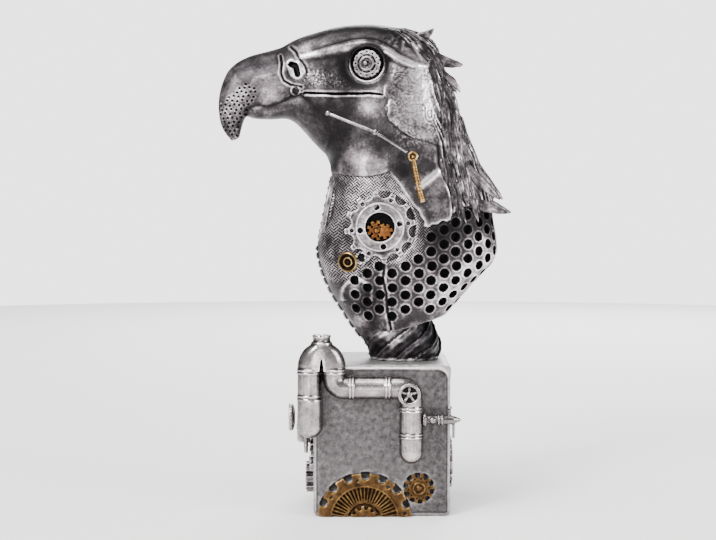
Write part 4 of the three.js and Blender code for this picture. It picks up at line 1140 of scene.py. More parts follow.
eyeSeat, _ = surfaceAt(bareTree, *eye["at"])
eyeSeat = eyeSeat + Vector(eye["gaze"]).normalized() * eye["raised"] * mm
for piece in makeEye(eyeSeat):
    piece.name = "eye_left" if piece.name.startswith("eye") else "eye_lid_left"
    twin = mirroredCopy(piece, piece.name.replace("left", "right"))
    for one in (piece, twin):
        dress(one, silver, ["eagle_bust"], angle=50)
print("eyes")

# Plumage: overlapping locks down the nape, and the free tips that stand off it

plumage = {
    "locks": 210,
    "seed": 5,
    "heights": (98, 196),
    "spread": 14,
    "length": (12, 24),
    "width": (1.3, 2.2),
    "tufts": [
        {"line": [(14, 193), (26, 195), (32, 199.2)], "wide": 4.2, "across": [-6, -1, 5]},
        {"line": [(29, 185), (40, 179.5), (49.5, 177.6)], "wide": 4.2, "across": [-12, -5, 2, 9]},
        {"line": [(33, 176), (43, 168), (48, 161)], "wide": 3.6, "across": [-13, 0, 12]},
        {"line": [(36, 170), (42.5, 158), (47.5, 147)], "wide": 4.6, "across": [-17, -9, -1, 7, 15]},
        {"line": [(44, 144), (51.5, 130), (58.5, 118)], "wide": 5.2, "across": [-21, -12, -3, 6, 14, 21]},
        {"line": [(54, 121), (64, 107), (74, 96.5)], "wide": 5.6, "across": [-22, -13, -4, 5, 13, 21]},
        {"line": [(58, 98), (69, 92), (79, 88.6)], "wide": 5.2, "across": [-22, -13, -4, 6, 14, 22]},
    ],
}


def lock(name, path, wide, flatness=0.45, rings=12):
    # a lock of feathers: flat, widest a third of the way along and drawn to a point
    share = np.linspace(0, 1, rings)
    rows = rowsAt(path, share * (len(path) - 1))
    radii = wide * mm * np.clip(np.sin(math.pi * (0.14 + 0.86 * share) ** 0.8) + 0.06, 0.05, 1)
    return sweep(name, rows, radii, 8, flatness)


def makeTufts():
    pieces = []
    for tuft in plumage["tufts"]:
        for y in tuft["across"]:
            path = [
                ((x - y**2 / (i + 1) / 45) * mm, y * mm, bustBase + z * mm)
                for i, (x, z) in enumerate(tuft["line"])
            ]
            pieces.append(lock("tuft", path, tuft["wide"] * 0.62))
    return pieces


def makeLocks(tree):
    # locks laid on the nape along the strands
    rng = np.random.default_rng(plumage["seed"])
    pieces = []
    for _ in range(plumage["locks"]):
        z = rng.uniform(*plumage["heights"])
        x = napeEdge(z) + rng.uniform(0, plumage["spread"])
        side = rng.choice([-1, 1])
        length = rng.uniform(*plumage["length"])
        path = []
        for along in (0, 0.33, 0.66, 1):
            drop = np.interp(z, [90, 140, 175, 198], [0.75, 0.86, 0.80, 0.35])
            px = x + along * length * (1 - drop) * 1.05
            pz = z - along * length * drop
            point, normal = surfaceAt(tree, px, pz)
            if point is None:
                break
            lifted = point + normal * (0.35 + 0.5 * along) * mm
            path.append((lifted.x, lifted.y * -side, lifted.z))
        if len(path) == 4:
            pieces.append(lock("lock", path, rng.uniform(*plumage["width"]), 0.6, 10))
    return pieces


def makePlumage():
    obj = joined("eagle_plumage", makeTufts() + makeLocks(bareTree))
    points = readPoints(obj) / mm
    x, _, z = bustPlaces(obj)
    raiseBy(obj, 0.3 * grain(points * np.array([1, 1, 0.4]), 1.6, 51))
    drawnOut = points * np.array([1, 1, 0.3])
    paint(obj, "tone", 0.40 + 0.18 * grain(drawnOut, 5.0, 52) + 0.14 * step(x - napeEdge(z), 6, 16))
    paint(obj, "relief", 0.8 * grain(drawnOut, 1.2, 53))
    return obj


dress(makePlumage(), silver, ["eagle_bust"], angle=60)
print("plumage")


# Fittings on the bust: portholes, bosses, cheek rods and levers, and the chest disc

def gearBlank(radius, teeth, depth, bite, low, high, turn=0.0, sides=144):
    # a toothed disc in local mm whose gaps are round bites
    blank = disc(radius, low, high, sides)
    bites = []
    further = 1 + bite / radius
    for x, y in ringOf(teeth, radius - depth + bite, turn + math.pi / teeth):
        bites.append(disc(bite, low - 1, high + 1, 20, x, y))
        bites.append(disc(bite * 1.12, low - 1, high + 1, 20, x * further, y * further))
    for cutter in bites:
        cutBy(blank, cutter)
    return blank


def bored(obj, holes, low, high, sides=20):
    # round holes (x, y, radius) right through, in local mm
    cutters = [disc(radius, low, high, sides, x, y) for x, y, radius in holes]
    return cutBy(obj, joined("bores", cutters))


def pair(obj, name, material):
    obj.name = name + "_fine_left"
    obj.data.name = obj.name
    twin = mirroredCopy(obj, name + "_fine_right")
    dress(obj, material, [name + "_left"])
    dress(twin, material, [name + "_right"])


def makePorthole():
    thick, turn = porthole["plate"], porthole["turn"]
    wheel = [porthole[name] for name in ("plateRadius", "teeth", "toothDepth", "bite")]
    bolts = ringOf(4, porthole["boltCircle"], porthole["boltTurn"])
    plate = gearBlank(*wheel, 0, thick, turn)
    holes = [(x, y, porthole["hole"]) for x, y in ringOf(6, porthole["holeCircle"], turn)]
    bored(plate, [(0, 0, porthole["bore"] + 0.9), *holes], -1, 4, 32)
    foot, top = thick - 0.5, thick + 0.35
    ridge = turned("ridge", [(17.9, foot), (18.2, top), (18.7, top), (19.0, foot), (17.9, foot)], 96)
    cutBy(ridge, gearBlank(*wheel, 0, thick + 2, turn), "INTERSECT")
    cast(joined("plate", [plate, ridge]), 0.34, keep=1)
    points = readPoints(plate) / mm
    tone = np.full(len(points), 0.50)
    # painted shade on the plate where it shows through the flange's bolt holes
    for x, y in bolts:
        tone -= 0.9 * step(-np.hypot(points[:, 0] - x, points[:, 1] - y), -2.3, -1.9)
    paint(plate, "tone", tone)
    lightened(plate, 0.5 * trianglesOf(plate))
    placed(plate, portholeAt + portholeOut * porthole["gap"] * mm, portholeOut)
    pair(plate, "porthole_plate", silver)
    r, bore, high = porthole["flangeRadius"], porthole["bore"], porthole["flange"]
    flange = turned(
        "flange",
        [
            (bore, 0), (r, 0), (r, high - 0.7), (r - 0.5, high), (r - 1.0, high), (r - 1.3, high - 0.25),
            (bore + 0.9, high - 0.25), (bore + 0.7, high), (bore + 0.4, high), (bore, high - 0.5), (bore, 0),
        ],
        128,
    )
    bored(flange, [(x, y, porthole["boltHole"]) for x, y in bolts], -1, 5, 24)
    cast(flange, 0.3, tone=0.60)
    placed(flange, portholeAt + portholeOut * (2 * porthole["gap"] + thick) * mm, portholeOut)
    pair(flange, "porthole_flange", silver)


def makeWellGears():
    floor = porthole["gap"] - porthole["well"]
    large = gearBlank(6, 9, 1.7, 0.95, floor, floor + 1.4)
    bored(large, [(x, y, 0.8) for x, y in ringOf(5, 3.6)], floor - 1, floor + 3, 16)
    large.data.transform(Matrix.Translation((-1.8 * mm, -2.1 * mm, 0)))
    small = gearBlank(4.4, 7, 1.3, 0.85, floor + 1.2, floor + 2.4, 0.2)
    small.data.transform(Matrix.Translation((3.2 * mm, -2.6 * mm, 0)))
    post = disc(1.3, floor, floor + 3.2, 24, -1.9, -2.2)
    gears = joined("well", [large, small, post])
    cast(gears, 0.22, 1, fineMm=0.06, broadMm=0.22, tone=0.40)
    placed(gears, portholeAt, portholeOut)
    pair(gears, "well_gears", copper)


neckBoss = {"at": (-20, 59.7), "radius": 6.2}


def makeBoss(tree):
    point, normal = surfaceAt(tree, *neckBoss["at"])
    r = neckBoss["radius"]
    boss = turned(
        "boss",
        [
            (0, -2), (r, -2), (r, 0.6), (0.94 * r, 1.3), (0.84 * r, 1.6), (0.74 * r, 1.3),
            (0.68 * r, 0.2), (0.52 * r, 0.1), (0.46 * r, 0.9), (0.36 * r, 1.0), (0.3 * r, 0.3),
            (0.22 * r, 0.3), (0.14 * r, 1.3), (0, 1.5),
        ],
        72,
    )
    cast(boss, 0.22, 1)
    share = np.hypot(*(readPoints(boss)[:, :2] / mm).T) / r
    # two rings are rubbed bright
    bright = step(share, 0.8, 0.86) + step(share, 0.32, 0.38) * step(-share, -0.52, -0.46)
    paint(boss, "tone", 0.05 + 0.62 * bright)
    placed(boss, point, normal)
    pair(boss, "neck_boss", brass)


cheek = {
    "rod": [(-32, 147.9), (-17.7, 141.9), (-4, 136.2), (6.8, 129.6), (14.6, 124.6)],
    "rodRadius": 1.1,
    "ring": (18.1, 122),
    "ringRadius": 3.2,
    "lever": [(0.3, -1.5, 1.4), (0.9, -5, 1.7), (2.4, -12.3, 1.85), (4.2, -20.7, 1.95), (6, -26.7, 2.0)],
    "grooves": 17,
}


def makeCheek(tree):
    rod = surfaceBar("rod", tree, [(x, z, cheek["rodRadius"]) for x, z in cheek["rod"]], 0.1, 48, 16)
    point, normal = surfaceAt(tree, *cheek["rod"][2])
    node = turned("node", [(0, -1.6), (1.5, -1), (1.9, 0), (1.5, 1), (0, 1.6)], 24, point, normal)
    point, normal = surfaceAt(tree, *cheek["rod"][0])
    end = turned("end", [(0, -1), (1.5, -1), (1.6, 0.6), (1.1, 1.3), (0, 1.5)], 24, point, normal)
    cast(joined("rod", [rod, node, end]), 0.26, 1)
    pair(rod, "cheek_rod", pewter)
    ringX, ringZ = cheek["ring"]
    barLine = [(ringX + x, ringZ + z, wide) for x, z, wide in cheek["lever"]]
    bar = surfaceBar("bar", tree, barLine, 0.15, 60, 16)
    point, normal = surfaceAt(tree, ringX, ringZ)
    r = cheek["ringRadius"]
    eyelet = turned(
        "eyelet",
        [
            (0, -1), (r, -1), (r, 0.9), (0.88 * r, 1.6), (0.68 * r, 1.6), (0.56 * r, 1.0), (0.5 * r, 0.1),
            (0.24 * r, 0.1), (0.2 * r, 1.1), (0, 1.2),
        ],
        48, point, normal,
    )
    lever = joined("lever", [bar, eyelet])
    cast(lever, 0.24, 1, keep=0.8)
    x, _, z = bustPlaces(lever)
    _, along = distanceTo([(lineX, lineZ) for lineX, lineZ, _ in barLine], x, z)
    groove = bell(np.mod(along * cheek["grooves"], 1) - 0.5, 0.22) * step(-z, -ringZ + 4, -ringZ + 6)
    raiseBy(lever, -0.16 * groove)
    paintRelief(lever, fine=4, broad=16, broadMm=0.3)
    paint(lever, "tone", np.full(len(x), 0.64))
    pair(lever, "cheek_lever", brass)


def makeChestDisc():
    r, back = chestDisc["radius"], -chestDisc["thickness"]
    plate = turned(
        "chest_disc_fine",
        [
            (0, back), (r, back), (r, -0.8), (0.97 * r, -0.1), (0.9 * r, 0), (0.84 * r, -0.2),
            (0.8 * r, -1.1), (0.52 * r, -1.1), (0.48 * r, -0.3), (0.42 * r, -0.3), (0.38 * r, -1.1),
            (0.26 * r, -1.1), (0.22 * r, 0), (0.1 * r, 0.2), (0, 0.2),
        ],
        128,
    )
    turns = np.arange(chestDisc["spokes"]) * 2 * math.pi / chestDisc["spokes"]
    spokes = [block(7.2, 1.8, -2, -0.5, 0.66 * r, 0, turn) for turn in turns]
    rivets = []
    for x, y in ringOf(chestDisc["rivets"], 0.9 * r, 0.1):
        rivet = turned("rivet", [(0, -0.6), (0.95, -0.5), (0.8, 0.4), (0, 0.7)], 14)
        rivet.data.transform(Matrix.Translation((x * mm, y * mm, 0)))
        rivets.append(rivet)
    plate = joined("chest_disc_fine", [plate, *spokes, *rivets])
    cast(plate, 0.36, 1, tone=0.46)
    placed(plate, chestAt, chestOut)
    dress(plate, silver, ["chest_disc"])


makePorthole()
makeWellGears()
makeBoss(bareTree)
makeCheek(bareTree)
makeChestDisc()
print("fittings")

# The plinth: a sanded cast block with a shallow panel on each side

plinthWidth, plinthDepth, plinthHeight = [(b - a) / mm for a, b in zip(plinthLow, plinthHigh)]
plinth = {
    "edge": 3.5, "border": 1.8, "corner": 7, "inset": 0.8, "voxel": 0.78, "pitDepth": 1.3, "triangles": 85000,
}
halfGear = {
    "x": -10.3, "z": -1.8, "radius": 27.8, "teeth": 16, "depth": 4, "turn": 0.176, "bite": 2.5, "pit": 2.9,
    "fins": 25,
}
smallGear = {
    "x": 21.8, "z": 17, "radius": 8.7, "teeth": 10, "depth": 2.6, "turn": 0.1, "bite": 1.5, "pit": 1.8,
}


def panelField(across, z, half):
    # signed distance inside the panel's outline, whose two upper corners are round and foot is open
    top = plinthHeight - plinth["border"] - 1
    r = plinth["corner"]
    dx = np.abs(across) - (half - plinth["border"] - r)
    dz = z - (top - r)
    outside = np.hypot(np.maximum(dx, 0), np.maximum(dz, 0))
    return r - np.where((dx > 0) & (dz > 0), outside, np.maximum(dx, dz))


def gearPits(x, z):
    # the pits in the gaps between the teeth of the two front gears; their floors also get painted shade
    pit = np.zeros(len(x))
    for gear in (halfGear, smallGear):
        out = away((gear["x"], gear["z"]), x, z)
        inGear = step(-out, -gear["radius"] - 0.6, -gear["radius"] + 0.2)
        turn = gear["turn"] + math.pi / gear["teeth"]
        for across, up in ringOf(gear["teeth"], gear["radius"] - 0.6, turn):
            gap = away((gear["x"] + across, gear["z"] + up), x, z)
            pit = np.maximum(pit, inGear * step(-gap, -gear["pit"] - 0.35, -gear["pit"] + 0.45))
    return pit * step(z, 1, 2)


def makePlinth():
    bpy.ops.mesh.primitive_cube_add(size=1)
    obj = bpy.context.object
    obj.scale = (plinthWidth * mm, plinthDepth * mm, plinthHeight * mm)
    obj.location = [(a + b) / 2 for a, b in zip(plinthLow, plinthHigh)]
    bpy.context.view_layer.update()
    settled(obj)
    modified(obj, "BEVEL", width=plinth["edge"] * mm, segments=5, limit_method="ANGLE", angle_limit=0.6)
    remeshed(obj, plinth["voxel"])
    modified(obj, "SMOOTH", factor=0.5, iterations=3)
    points, normals = readPoints(obj) / mm, readPoints(obj, "normal")
    x, y, z = points.T
    height = np.zeros(len(x))
    onEnd = step(np.abs(normals[:, 0]), 0.75, 0.95)
    onFace = step(np.abs(normals[:, 1]), 0.75, 0.95)
    fieldFace = panelField(x, z, plinthWidth / 2)
    fieldEnd = panelField(y, z, plinthDepth / 2)
    height -= plinth["inset"] * (onFace * step(fieldFace, -0.5, 0.5) + onEnd * step(fieldEnd, -0.5, 0.5))
    rim = onFace * bell(fieldFace + 1.0, 0.9) + onEnd * bell(fieldEnd + 1.0, 0.9)
    height += 0.25 * rim
    pit = onFace * (y < 0) * gearPits(x, z)
    height -= plinth["pitDepth"] * pit
    height += 0.16 * grain(points, 3.2, 61) + 0.28 * grain(points, 14.0, 62) + 0.07 * grain(points, 1.1, 63)
    # nothing reaches out of the plinth's own box
    height = np.minimum(height, 0.0)
    standing = step(z, 0.5, 2.0)
    raiseBy(obj, height * standing)
    # the pits' floors are painted dark, as painted shade between the gear teeth
    paintRelief(obj, more=-1.3 * pit, fineMm=0.12, broadMm=0.5)
    # the panels' raised border is lighter, partly wear and partly a painted highlight; darker towards the
    # bottom and towards the right of the front
    tone = 0.44 + 0.30 * rim - 0.12 * bell(z, 7) - 0.10 * step(x, 20, 40) * onFace
    # the top face is lighter, as painted light from above
    paint(obj, "tone", tone + 0.16 * step(normals[:, 2], 0.7, 0.95))
    obj.name = "plinth_fine"
    obj.data.name = "plinth_fine"
    return lightened(obj, plinth["triangles"])


dress(makePlinth(), plinthGrey, ["plinth"], angle=50)
print("plinth")

# Pipework on the plinth

faceY = plinthLow.y / mm
endX = plinthWidth / 2 - plinth["inset"] + 0.3
pipes = {
    "radius": 6.95, "fitting": 6.9, "standoff": 4.6, "bend": 7.2, "collar": 7.4, "collarLength": 2.4,
    "run": 77.2, "drop": 17, "dropFoot": 32.4, "leg": -plinthWidth / 2 - 1.6, "legSpacing": 14.5,
    "archFoot": 87, "archTop": 103.2, "cap": 5, "capHeight": 5.2,
    "sideX": -plinthWidth / 2 - 4, "sideHeight": 55, "sideEnd": 10, "sideDrop": 18,
    "voxel": 0.46, "triangles": 80000,
}
pipeY = faceY - pipes["standoff"]
innerLeg = pipes["leg"] + pipes["legSpacing"]


def bentLine(corners, bend, steps=7):
    # the line through the corners, each bend rounded
    corners = [Vector(c) for c in corners]
    line = [corners[0]]
    for before, corner, after in zip(corners[:-2], corners[1:-1], corners[2:]):
        into, onward = (corner - before).normalized(), (after - corner).normalized()
        first, last = corner - into * bend, corner + onward * bend
        for i in range(steps + 1):
            t = i / steps
            line.append(first * (1 - t) ** 2 + corner * 2 * t * (1 - t) + last * t * t)
    line.append(corners[-1])
    return line


def tube(name, line, radius, sides=32):
    curve = bpy.data.curves.new(name, "CURVE")
    curve.dimensions = "3D"
    spline = curve.splines.new("POLY")
    spline.points.add(len(line) - 1)
    for point, place in zip(spline.points, line):
        point.co = (*(Vector(place) * mm), 1)
    curve.bevel_depth = radius * mm
    curve.bevel_resolution = sides // 4
    curve.use_fill_caps = True
    obj = bpy.data.objects.new(name, curve)
    bpy.context.scene.collection.objects.link(obj)
    selectOnly(obj)
    bpy.ops.object.convert(target="MESH")
    return facesOutward(bpy.context.object, 0.01)


def collar(at, direction):
    # a sleeve with a thin raised ring at each edge
    r, half, plain = pipes["collar"], pipes["collarLength"] / 2, pipes["radius"] - 1
    profile = [
        (plain, -half), (r, -half), (r, -half + 0.6), (r - 0.45, -half + 0.75), (r - 0.45, half - 0.75),
        (r, half - 0.6), (r, half), (plain, half), (plain, -half),
    ]
    return turned("collar", profile, 64, Vector(at) * mm, direction)


def pipeArch():
    # the arch over the two legs, its shoulders sloping up to the cap
    middle, half = (pipes["leg"] + innerLeg) / 2, (innerLeg - pipes["leg"]) / 2 + pipes["radius"]
    rows = [
        [0, half, 1], [0.3, 0.98 * half, 1], [0.56, 0.88 * half, 0.98], [0.8, 0.7 * half, 0.92],
        [1, pipes["cap"] + 0.4, 0.84],
    ]
    angle = np.linspace(0, 2 * math.pi, 48, endpoint=False)
    u, v = np.cos(angle), np.sin(angle)
    rings = []
    for share, wide, deep in rowsAt(rows, np.linspace(0, 4, 24)):
        x = middle + wide * np.sign(u) * np.abs(u) ** 0.8
        y = pipeY + pipes["radius"] * deep * np.sign(v) * np.abs(v) ** 0.9
        z = np.full(48, pipes["archFoot"] + share * (pipes["archTop"] - pipes["archFoot"]))
        rings.append(np.stack([x, y, z], axis=1) * mm)
    arch = skin("arch", rings)
    creaseFoot = [(-1, pipeY - 8), (1, pipeY - 8), (1, pipeY + 8), (-1, pipeY + 8)]
    creaseTop = [(-1, pipeY - 8), (1, pipeY - 8), (1, pipeY - 5.2), (-1, pipeY - 5.2)]
    # the crease between the legs runs up into the arch
    rings = [
        [((middle + u * wide) * mm, y * mm, (pipes["archFoot"] + z) * mm) for u, y in corners]
        for z, wide, corners in ((-3, 1.6, creaseFoot), (9, 0.25, creaseTop))
    ]
    return cutBy(arch, skin("slot", rings))


def makePipes():
    p = pipes
    middle, end = (p["leg"] + innerLeg) / 2, p["dropFoot"] + p["radius"]
    r, leg, foot = p["radius"], p["leg"], p["archFoot"]
    outerLine = [
        (p["sideX"], p["sideEnd"], p["sideHeight"] - p["sideDrop"]),
        (p["sideX"], p["sideEnd"], p["sideHeight"]), (leg, pipeY, p["sideHeight"]),
        (leg, pipeY, foot + 1),
    ]
    innerLine = [
        (innerLeg, pipeY, foot + 1), (innerLeg, pipeY, p["run"]), (p["drop"], pipeY, p["run"]),
        (p["drop"], pipeY, end),
    ]
    outer = tube("outer", bentLine(outerLine, p["bend"]), r)
    inner = tube("inner", bentLine(innerLine, p["bend"]), r)
    bulge = [(r * math.cos(a), r * math.sin(a)) for a in np.linspace(0, math.pi / 2, 9)[:-1]]
    domeAt = Vector((p["drop"], pipeY, end)) * mm
    dome = turned("dome", [(0, -0.5), (r, -0.5), *bulge, (0, r)], 48, domeAt, (0, 0, -1))
    c, h = p["cap"], p["capHeight"]
    cap = turned(
        "cap",
        [
            (0, 0), (c + 1.3, 0), (c + 1.3, 0.8), (c + 0.1, 1.1), (c + 0.1, 3.6), (c + 0.5, 3.9),
            (c + 0.5, h - 0.3), (c, h), (0, h),
        ],
        48, Vector((middle, pipeY, p["archTop"] - 0.1)) * mm,
    )
    slot = block(1.5, 20, 0, 2.4)
    slot.data.transform(Matrix.Translation((middle * mm, pipeY * mm, (p["archTop"] + h - 1.2) * mm)))
    cutBy(cap, slot)
    up, level = (0, 0, 1), (1, 0, 0)
    collars = [collar(at, way) for at, way in (
        ((leg, pipeY, foot - 0.2), up), ((leg, pipeY, foot - 15.5), up), ((innerLeg, pipeY, foot - 0.2), up),
        ((innerLeg + 10.3, pipeY, p["run"]), level), ((p["drop"] - 13.7, pipeY, p["run"]), level),
        ((p["drop"], pipeY, p["run"] - 12.7), up), ((p["drop"], pipeY, p["run"] - 28.2), up),
        ((p["sideX"], p["sideEnd"], p["sideHeight"] - p["sideDrop"] / 2), up),
    )]
    # the free leg's lower sleeve, round where it turns back
    wide = r + 0.6
    turn = [(wide * math.sin(a), -wide * math.cos(a)) for a in np.linspace(0, math.pi / 2, 12)]
    sleeveAt = Vector((leg + 0.5, pipeY, p["sideHeight"])) * mm
    sleeve = turned("sleeve", [*turn, (wide, 15.5), (0, 15.5)], 64, sleeveAt)
    obj = joined("steam_pipe_fine", [outer, inner, pipeArch(), cap, dome, sleeve, *collars])
    # the pipes stay clear of the plinth
    room = block(plinthWidth + 0.6, plinthDepth + 0.6, -5, plinthHeight + 0.3)
    remeshed(obj, p["voxel"])
    modified(obj, "SMOOTH", factor=0.5, iterations=2)
    cutBy(obj, room)
    paintRelief(obj, fine=4, broad=24, broadMm=0.4)
    points = readPoints(obj) / mm
    # a painted highlight down the faces that look forward, and to the left on the side run, lighter where the
    # pipes stand out furthest
    out = np.where(points[:, 1] < pipeY + r, pipeY - points[:, 1], p["sideX"] - points[:, 0])
    paint(obj, "tone", 0.34 + 0.34 * step(out, 1.0, r) + 0.08 * grain(points, 9.0, 71))
    return lightened(obj, p["triangles"])


dress(makePipes(), pewter, ["steam_pipe"], angle=50)
print("pipes")


def handWheel(radius, at, direction, name, node):
    deep = 3.6
    wheel = turned(
        name,
        [
            (0, 0), (0.5 * radius, 0), (0.92 * radius, 0.9), (radius, 1.8), (radius, deep - 0.5),
            (0.94 * radius, deep), (0.76 * radius, deep), (0.7 * radius, deep - 0.4),
            (0.66 * radius, 1.7), (0, 1.7),
        ],
        72,
    )
    inner, outer, top = 0.14 * radius, 0.24 * radius, deep - 0.2
    hub = turned("hub", [(0, 1), (outer, 1), (outer, deep - 0.6), (inner, top), (0, top)], 24)
    turns = np.arange(5) * 2 * math.pi / 5
    spokes = [block(0.62 * radius, 1.2, 1.4, 2.7, 0.42 * radius, 0, turn + 0.3) for turn in turns]
    notches = [disc(0.55, 1.2, 5, 12, x, y) for x, y in ringOf(18, radius + 0.25)]
    cutBy(wheel, joined("notches", notches))
    wheel = joined(name, [wheel, hub, *spokes])
    cast(wheel, 0.26, 1, tone=0.55)
    points = readPoints(wheel) / mm
    out = np.hypot(points[:, 0], points[:, 1])
    recess = step(-points[:, 2], -2.3, -1.8) * step(-out, -0.7 * radius, -0.64 * radius)
    paint(wheel, "tone", 0.58 - 0.42 * recess)
    placed(wheel, Vector(at) * mm, direction)
    dress(wheel, pewter, [node], angle=50)


frontWheelAt = (pipes["drop"] - 1.3, pipeY - pipes["fitting"], pipes["run"] - 3)
leftWheelAt = (pipes["sideX"] - pipes["fitting"], -20, pipes["sideHeight"] + 1.5)
handWheel(6.7, frontWheelAt, (0, -1, 0), "front_wheel", "front_valve_wheel")
handWheel(8.2, leftWheelAt, (-1, 0, 0), "side_wheel", "left_valve_wheel")
print("wheels")


tap = {"radius": 2.7, "height": 58.2, "reach": 5.5}
drain = {"x": -plinthWidth / 2 - 4.4, "y": -18, "foot": 34.5}


def makeTap():
    r, z, y = tap["radius"], tap["height"], pipeY + 0.6
    start = pipes["drop"] + pipes["fitting"] - 0.3
    length = plinthWidth / 2 + tap["reach"] - start
    body = turned(
        "side_tap_fine",
        [
            (0, 0.3), (4.1, 0.3), (4.3, 0.7), (4.3, 1.9), (4.0, 2.3), (r, 2.5), (r, 8.8), (3.3, 9.1),
            (3.4, 9.7), (2.9, 10.1), (2.9, 10.9), (3.4, 11.3), (3.3, 11.8), (r, 12.1), (r, length - 4.8),
            (r - 0.5, length - 3.6), (0.5, length), (0, length),
        ],
        48, Vector((start, y, z)) * mm, (1, 0, 0),
    )
    bolt = turned(
        "bolt", [(0, 0), (1.9, 0), (1.9, 0.9), (1.4, 1.6), (0.8, 1.8), (0, 1.8)], 24,
        Vector((start + 6, y - r + 0.4, z)) * mm, (0, -1, 0),
    )
    stem = turned(
        "stem", [(0, 0), (1.1, 0), (0.9, 4.2), (1.5, 4.5), (1.6, 5.4), (1.1, 6), (0, 6)], 24,
        Vector((plinthWidth / 2 - 1.5, y, z + r - 0.6)) * mm,
    )
    handle = block(1.7, 1.7, -4.5, 4.5)
    handle.data.transform(Matrix.Translation(Vector((plinthWidth / 2 + 0.9, y, z - r - 3.6)) * mm))
    obj = joined("side_tap_fine", [body, bolt, stem, handle])
    cast(obj, 0.26, 1)
    dress(obj, pewter, ["side_tap"], angle=50)


def makeDrain():
    length = pipes["sideHeight"] - pipes["fitting"] - drain["foot"]
    obj = turned(
        "drain_pipe_fine",
        [
            (0, 0), (0.9, 0), (1.25, 0.5), (1.25, 4), (1.5, 4.2), (1.5, 5), (1.25, 5.2), (1.25, length - 2.2),
            (1.9, length - 1.8), (2.0, length - 0.3), (1.7, length), (0, length),
        ],
        32, Vector((drain["x"], drain["y"], drain["foot"])) * mm,
    )
    cast(obj, 0.24, 1, tone=0.6)
    dress(obj, pewter, ["drain_pipe"], angle=50)


makeTap()
makeDrain()
print("tap")

# Gears on the plinth's sides

gearThickness = 2.6
panelY = faceY + plinth["inset"] - 0.3
sideGears = {"radius": 16, "teeth": 12, "depth": 3.4, "bite": 2.1, "height": 26.5}
stackedGear = {"radius": 9.4, "teeth": 9, "depth": 2.6, "bite": 1.5, "y": -14, "height": 19.5}


def makeHalfGear():
    g, t = halfGear, gearThickness
    wheel = gearBlank(g["radius"], g["teeth"], g["depth"], g["bite"], 0, t, g["turn"])
    bored(wheel, [(x, y, 1.1) for x, y in ringOf(8, g["radius"] - 3.6, g["turn"])], -1, 5, 20)
    cutBy(wheel, ringBlock("dish", 6, 19.6, t - 1.5, t + 1))
    cutBy(wheel, ringBlock("line", 20.6, 21.2, t - 0.5, t + 1))
    hub = gearBlank(8.6, 12, 2.2, 1.15, 0.5, t + 0.5, 0.13)
    cutBy(hub, ringBlock("eyelet", 2.2, 3.2, t - 0.4, t + 1, 48))
    # fins all over the upper half
    apart = 180 / g["fins"]
    turns = [math.radians(apart * i + apart / 2) for i in range(g["fins"])]
    fins = [block(9.6, 0.8, 0.5, t - 0.3, 14.8, 0, turn) for turn in turns]
    obj = joined("half_gear_fine", [wheel, hub, *fins])
    obj.data.transform(facing((g["x"] * mm, panelY * mm, g["z"] * mm), (0, -1, 0)))
    ground = block(120, 120, -50, 0.6)
    remeshed(obj, 0.34)
    cutBy(obj, ground)
    modified(obj, "SMOOTH", factor=0.5, iterations=1)
    paintRelief(obj, fine=4, broad=20, broadMm=0.35)
    points = readPoints(obj) / mm
    paint(obj, "tone", 0.38 + 0.14 * grain(points, 4.0, 81))
    return lightened(obj)


def makeSmallGear():
    g, t = smallGear, gearThickness
    wheel = gearBlank(g["radius"], g["teeth"], g["depth"], g["bite"], 0, t, g["turn"], 96)
    bored(wheel, [(x, y, 0.5) for x, y in ringOf(10, 6.0, g["turn"])], t - 1, 5, 14)
    hub = turned("hub", [
        (0, 0), (3.9, 0), (3.9, t + 0.4), (3.5, t + 0.6), (2.9, t + 0.6), (2.6, t - 0.5), (1.7, t - 0.5),
        (1.5, t + 0.3), (0.8, t + 0.8), (0, t + 0.9),
    ])
    obj = joined("small_gear_fine", [wheel, hub])
    cast(obj, 0.26, 1, tone=0.38)
    return placed(obj, Vector((g["x"], panelY, g["z"])) * mm, (0, -1, 0))


def sideGear(name, at, direction, stacked=None):
    g, small, t = sideGears, stackedGear, gearThickness
    wheel = gearBlank(g["radius"], g["teeth"], g["depth"], g["bite"], 0, t)
    bored(wheel, [(x, y, 1.5) for x, y in ringOf(6, 0.6 * g["radius"])], -1, 5, 20)
    hub = turned("hub", [
        (0, 0), (4.8, 0), (4.8, t + 0.6), (4.4, t + 0.8), (3.2, t + 0.8), (2.8, t - 0.2), (1.8, t - 0.2),
        (1.4, t + 0.8), (0, t + 0.9),
    ])
    foot, top = t - 0.5, t + 0.35
    rimLine = turned("rimLine", [(11.4, foot), (11.6, top), (12.2, top), (12.4, foot), (11.4, foot)], 96)
    obj = joined(name, [wheel, hub, rimLine])
    cast(obj, 0.36, 1, tone=0.46)
    placed(obj, Vector(at) * mm, direction)
    if stacked:
        upper = gearBlank(small["radius"], small["teeth"], small["depth"], small["bite"], 0, 2 * t, sides=96)
        bored(upper, [(0, 0, 1.4)], 2, 9, 24)
        cast(upper, 0.32, 1)
        placed(upper, Vector(stacked) * mm, direction)
        obj = joined(name, [obj, upper])
    return obj


dress(makeHalfGear(), brass, ["half_gear"])
dress(makeSmallGear(), brass, ["small_gear"])
up = sideGears["height"]
stackedAt = (-endX, stackedGear["y"], stackedGear["height"])
dress(sideGear("left_gear_fine", (-endX, -6, up), (-1, 0, 0), stackedAt), silver, ["left_gear"])
dress(sideGear("right_gear_fine", (endX, 0, up), (1, 0, 0)), silver, ["right_gear"])
dress(sideGear("back_gear_fine", (0, -panelY, up), (0, 1, 0)), silver, ["back_gear"])
print("gears")


# The set: a pale floor, a pale world and soft studio lights

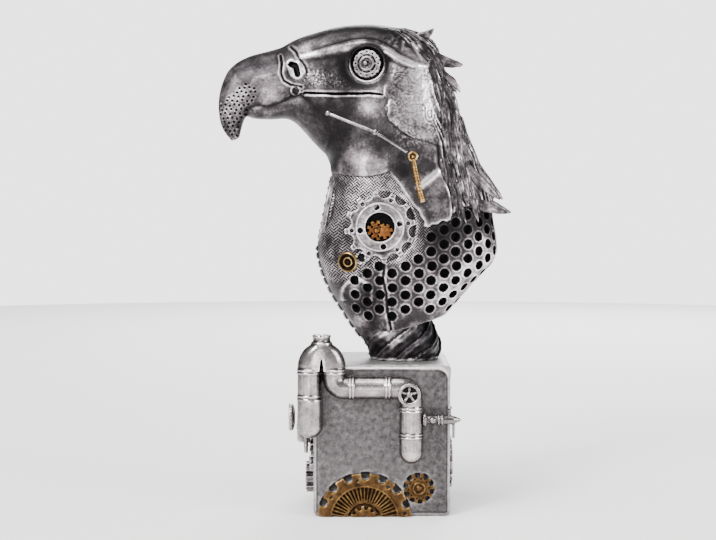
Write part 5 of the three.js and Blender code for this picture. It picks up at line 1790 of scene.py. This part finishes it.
studio = {
    "floorRadius": 1.7,
    "floor": "#eeedec",
    "world": "#f4f3f2",
    "backdrop": 3.4,  # how bright the world is where it is seen
    "worldLight": 0.30,  # how much of it falls on the figurine
    "sun": {"turn": (18, -14, 0), "angle": 50, "power": 4.6},
    "aim": 0.15,
    # places, aim height and sizes in metres, power in watts
    "lights": [
        {"name": "key", "at": (-1.0, -1.4, 1.1), "size": 0.6, "power": 46},
        {"name": "fill", "at": (1.5, -0.9, 0.6), "size": 0.8, "power": 30},
        {"name": "back", "at": (0.3, 1.4, 0.9), "size": 1.0, "power": 34},
        {"name": "low", "at": (-0.3, -1.6, 0.12), "size": 0.5, "power": 7},
    ],
}


def makeStudio():
    bpy.ops.mesh.primitive_circle_add(
        vertices=96, radius=studio["floorRadius"], fill_type="NGON", location=(0, 0, plinthLow.z)
    )
    floor = settled(bpy.context.object)
    floor.name = "floor"
    floorPaint = newMaterial("matt white paper")
    shader = addNode(
        floorPaint, "ShaderNodeBsdfPrincipled", {"Base Color": linear(studio["floor"]), "Roughness": 0.85}
    )
    addNode(floorPaint, "ShaderNodeOutputMaterial", {"Surface": shader})
    floor.data.materials.append(floorPaint)
    world = bpy.data.worlds.new("studio")
    bpy.context.scene.world = world
    world.use_nodes = True
    background = world.node_tree.nodes["Background"]
    background.inputs["Color"].default_value = linear(studio["world"])
    seen = addNode(world, "ShaderNodeLightPath").outputs["Is Camera Ray"]
    dim, bright = studio["worldLight"], studio["backdrop"]
    strength = addNode(world, maths, {0: seen, 1: bright - dim, 2: dim}, operation="MULTIPLY_ADD")
    world.node_tree.links.new(strength.outputs[0], background.inputs["Strength"])
    sun = studio["sun"]
    bpy.ops.object.light_add(type="SUN", rotation=[math.radians(a) for a in sun["turn"]])
    overhead = bpy.context.object
    overhead.name = "overhead"
    overhead.data.angle = math.radians(sun["angle"])
    overhead.data.energy = sun["power"]
    aim = Vector((0, 0, studio["aim"]))
    for light in studio["lights"]:
        bpy.ops.object.light_add(type="AREA", location=light["at"])
        lamp = bpy.context.object
        lamp.name = light["name"]
        lamp.data.size = light["size"]
        lamp.data.energy = light["power"]
        lamp.rotation_euler = (aim - lamp.location).to_track_quat("-Z", "Y").to_euler()


makeStudio()
print("studio")
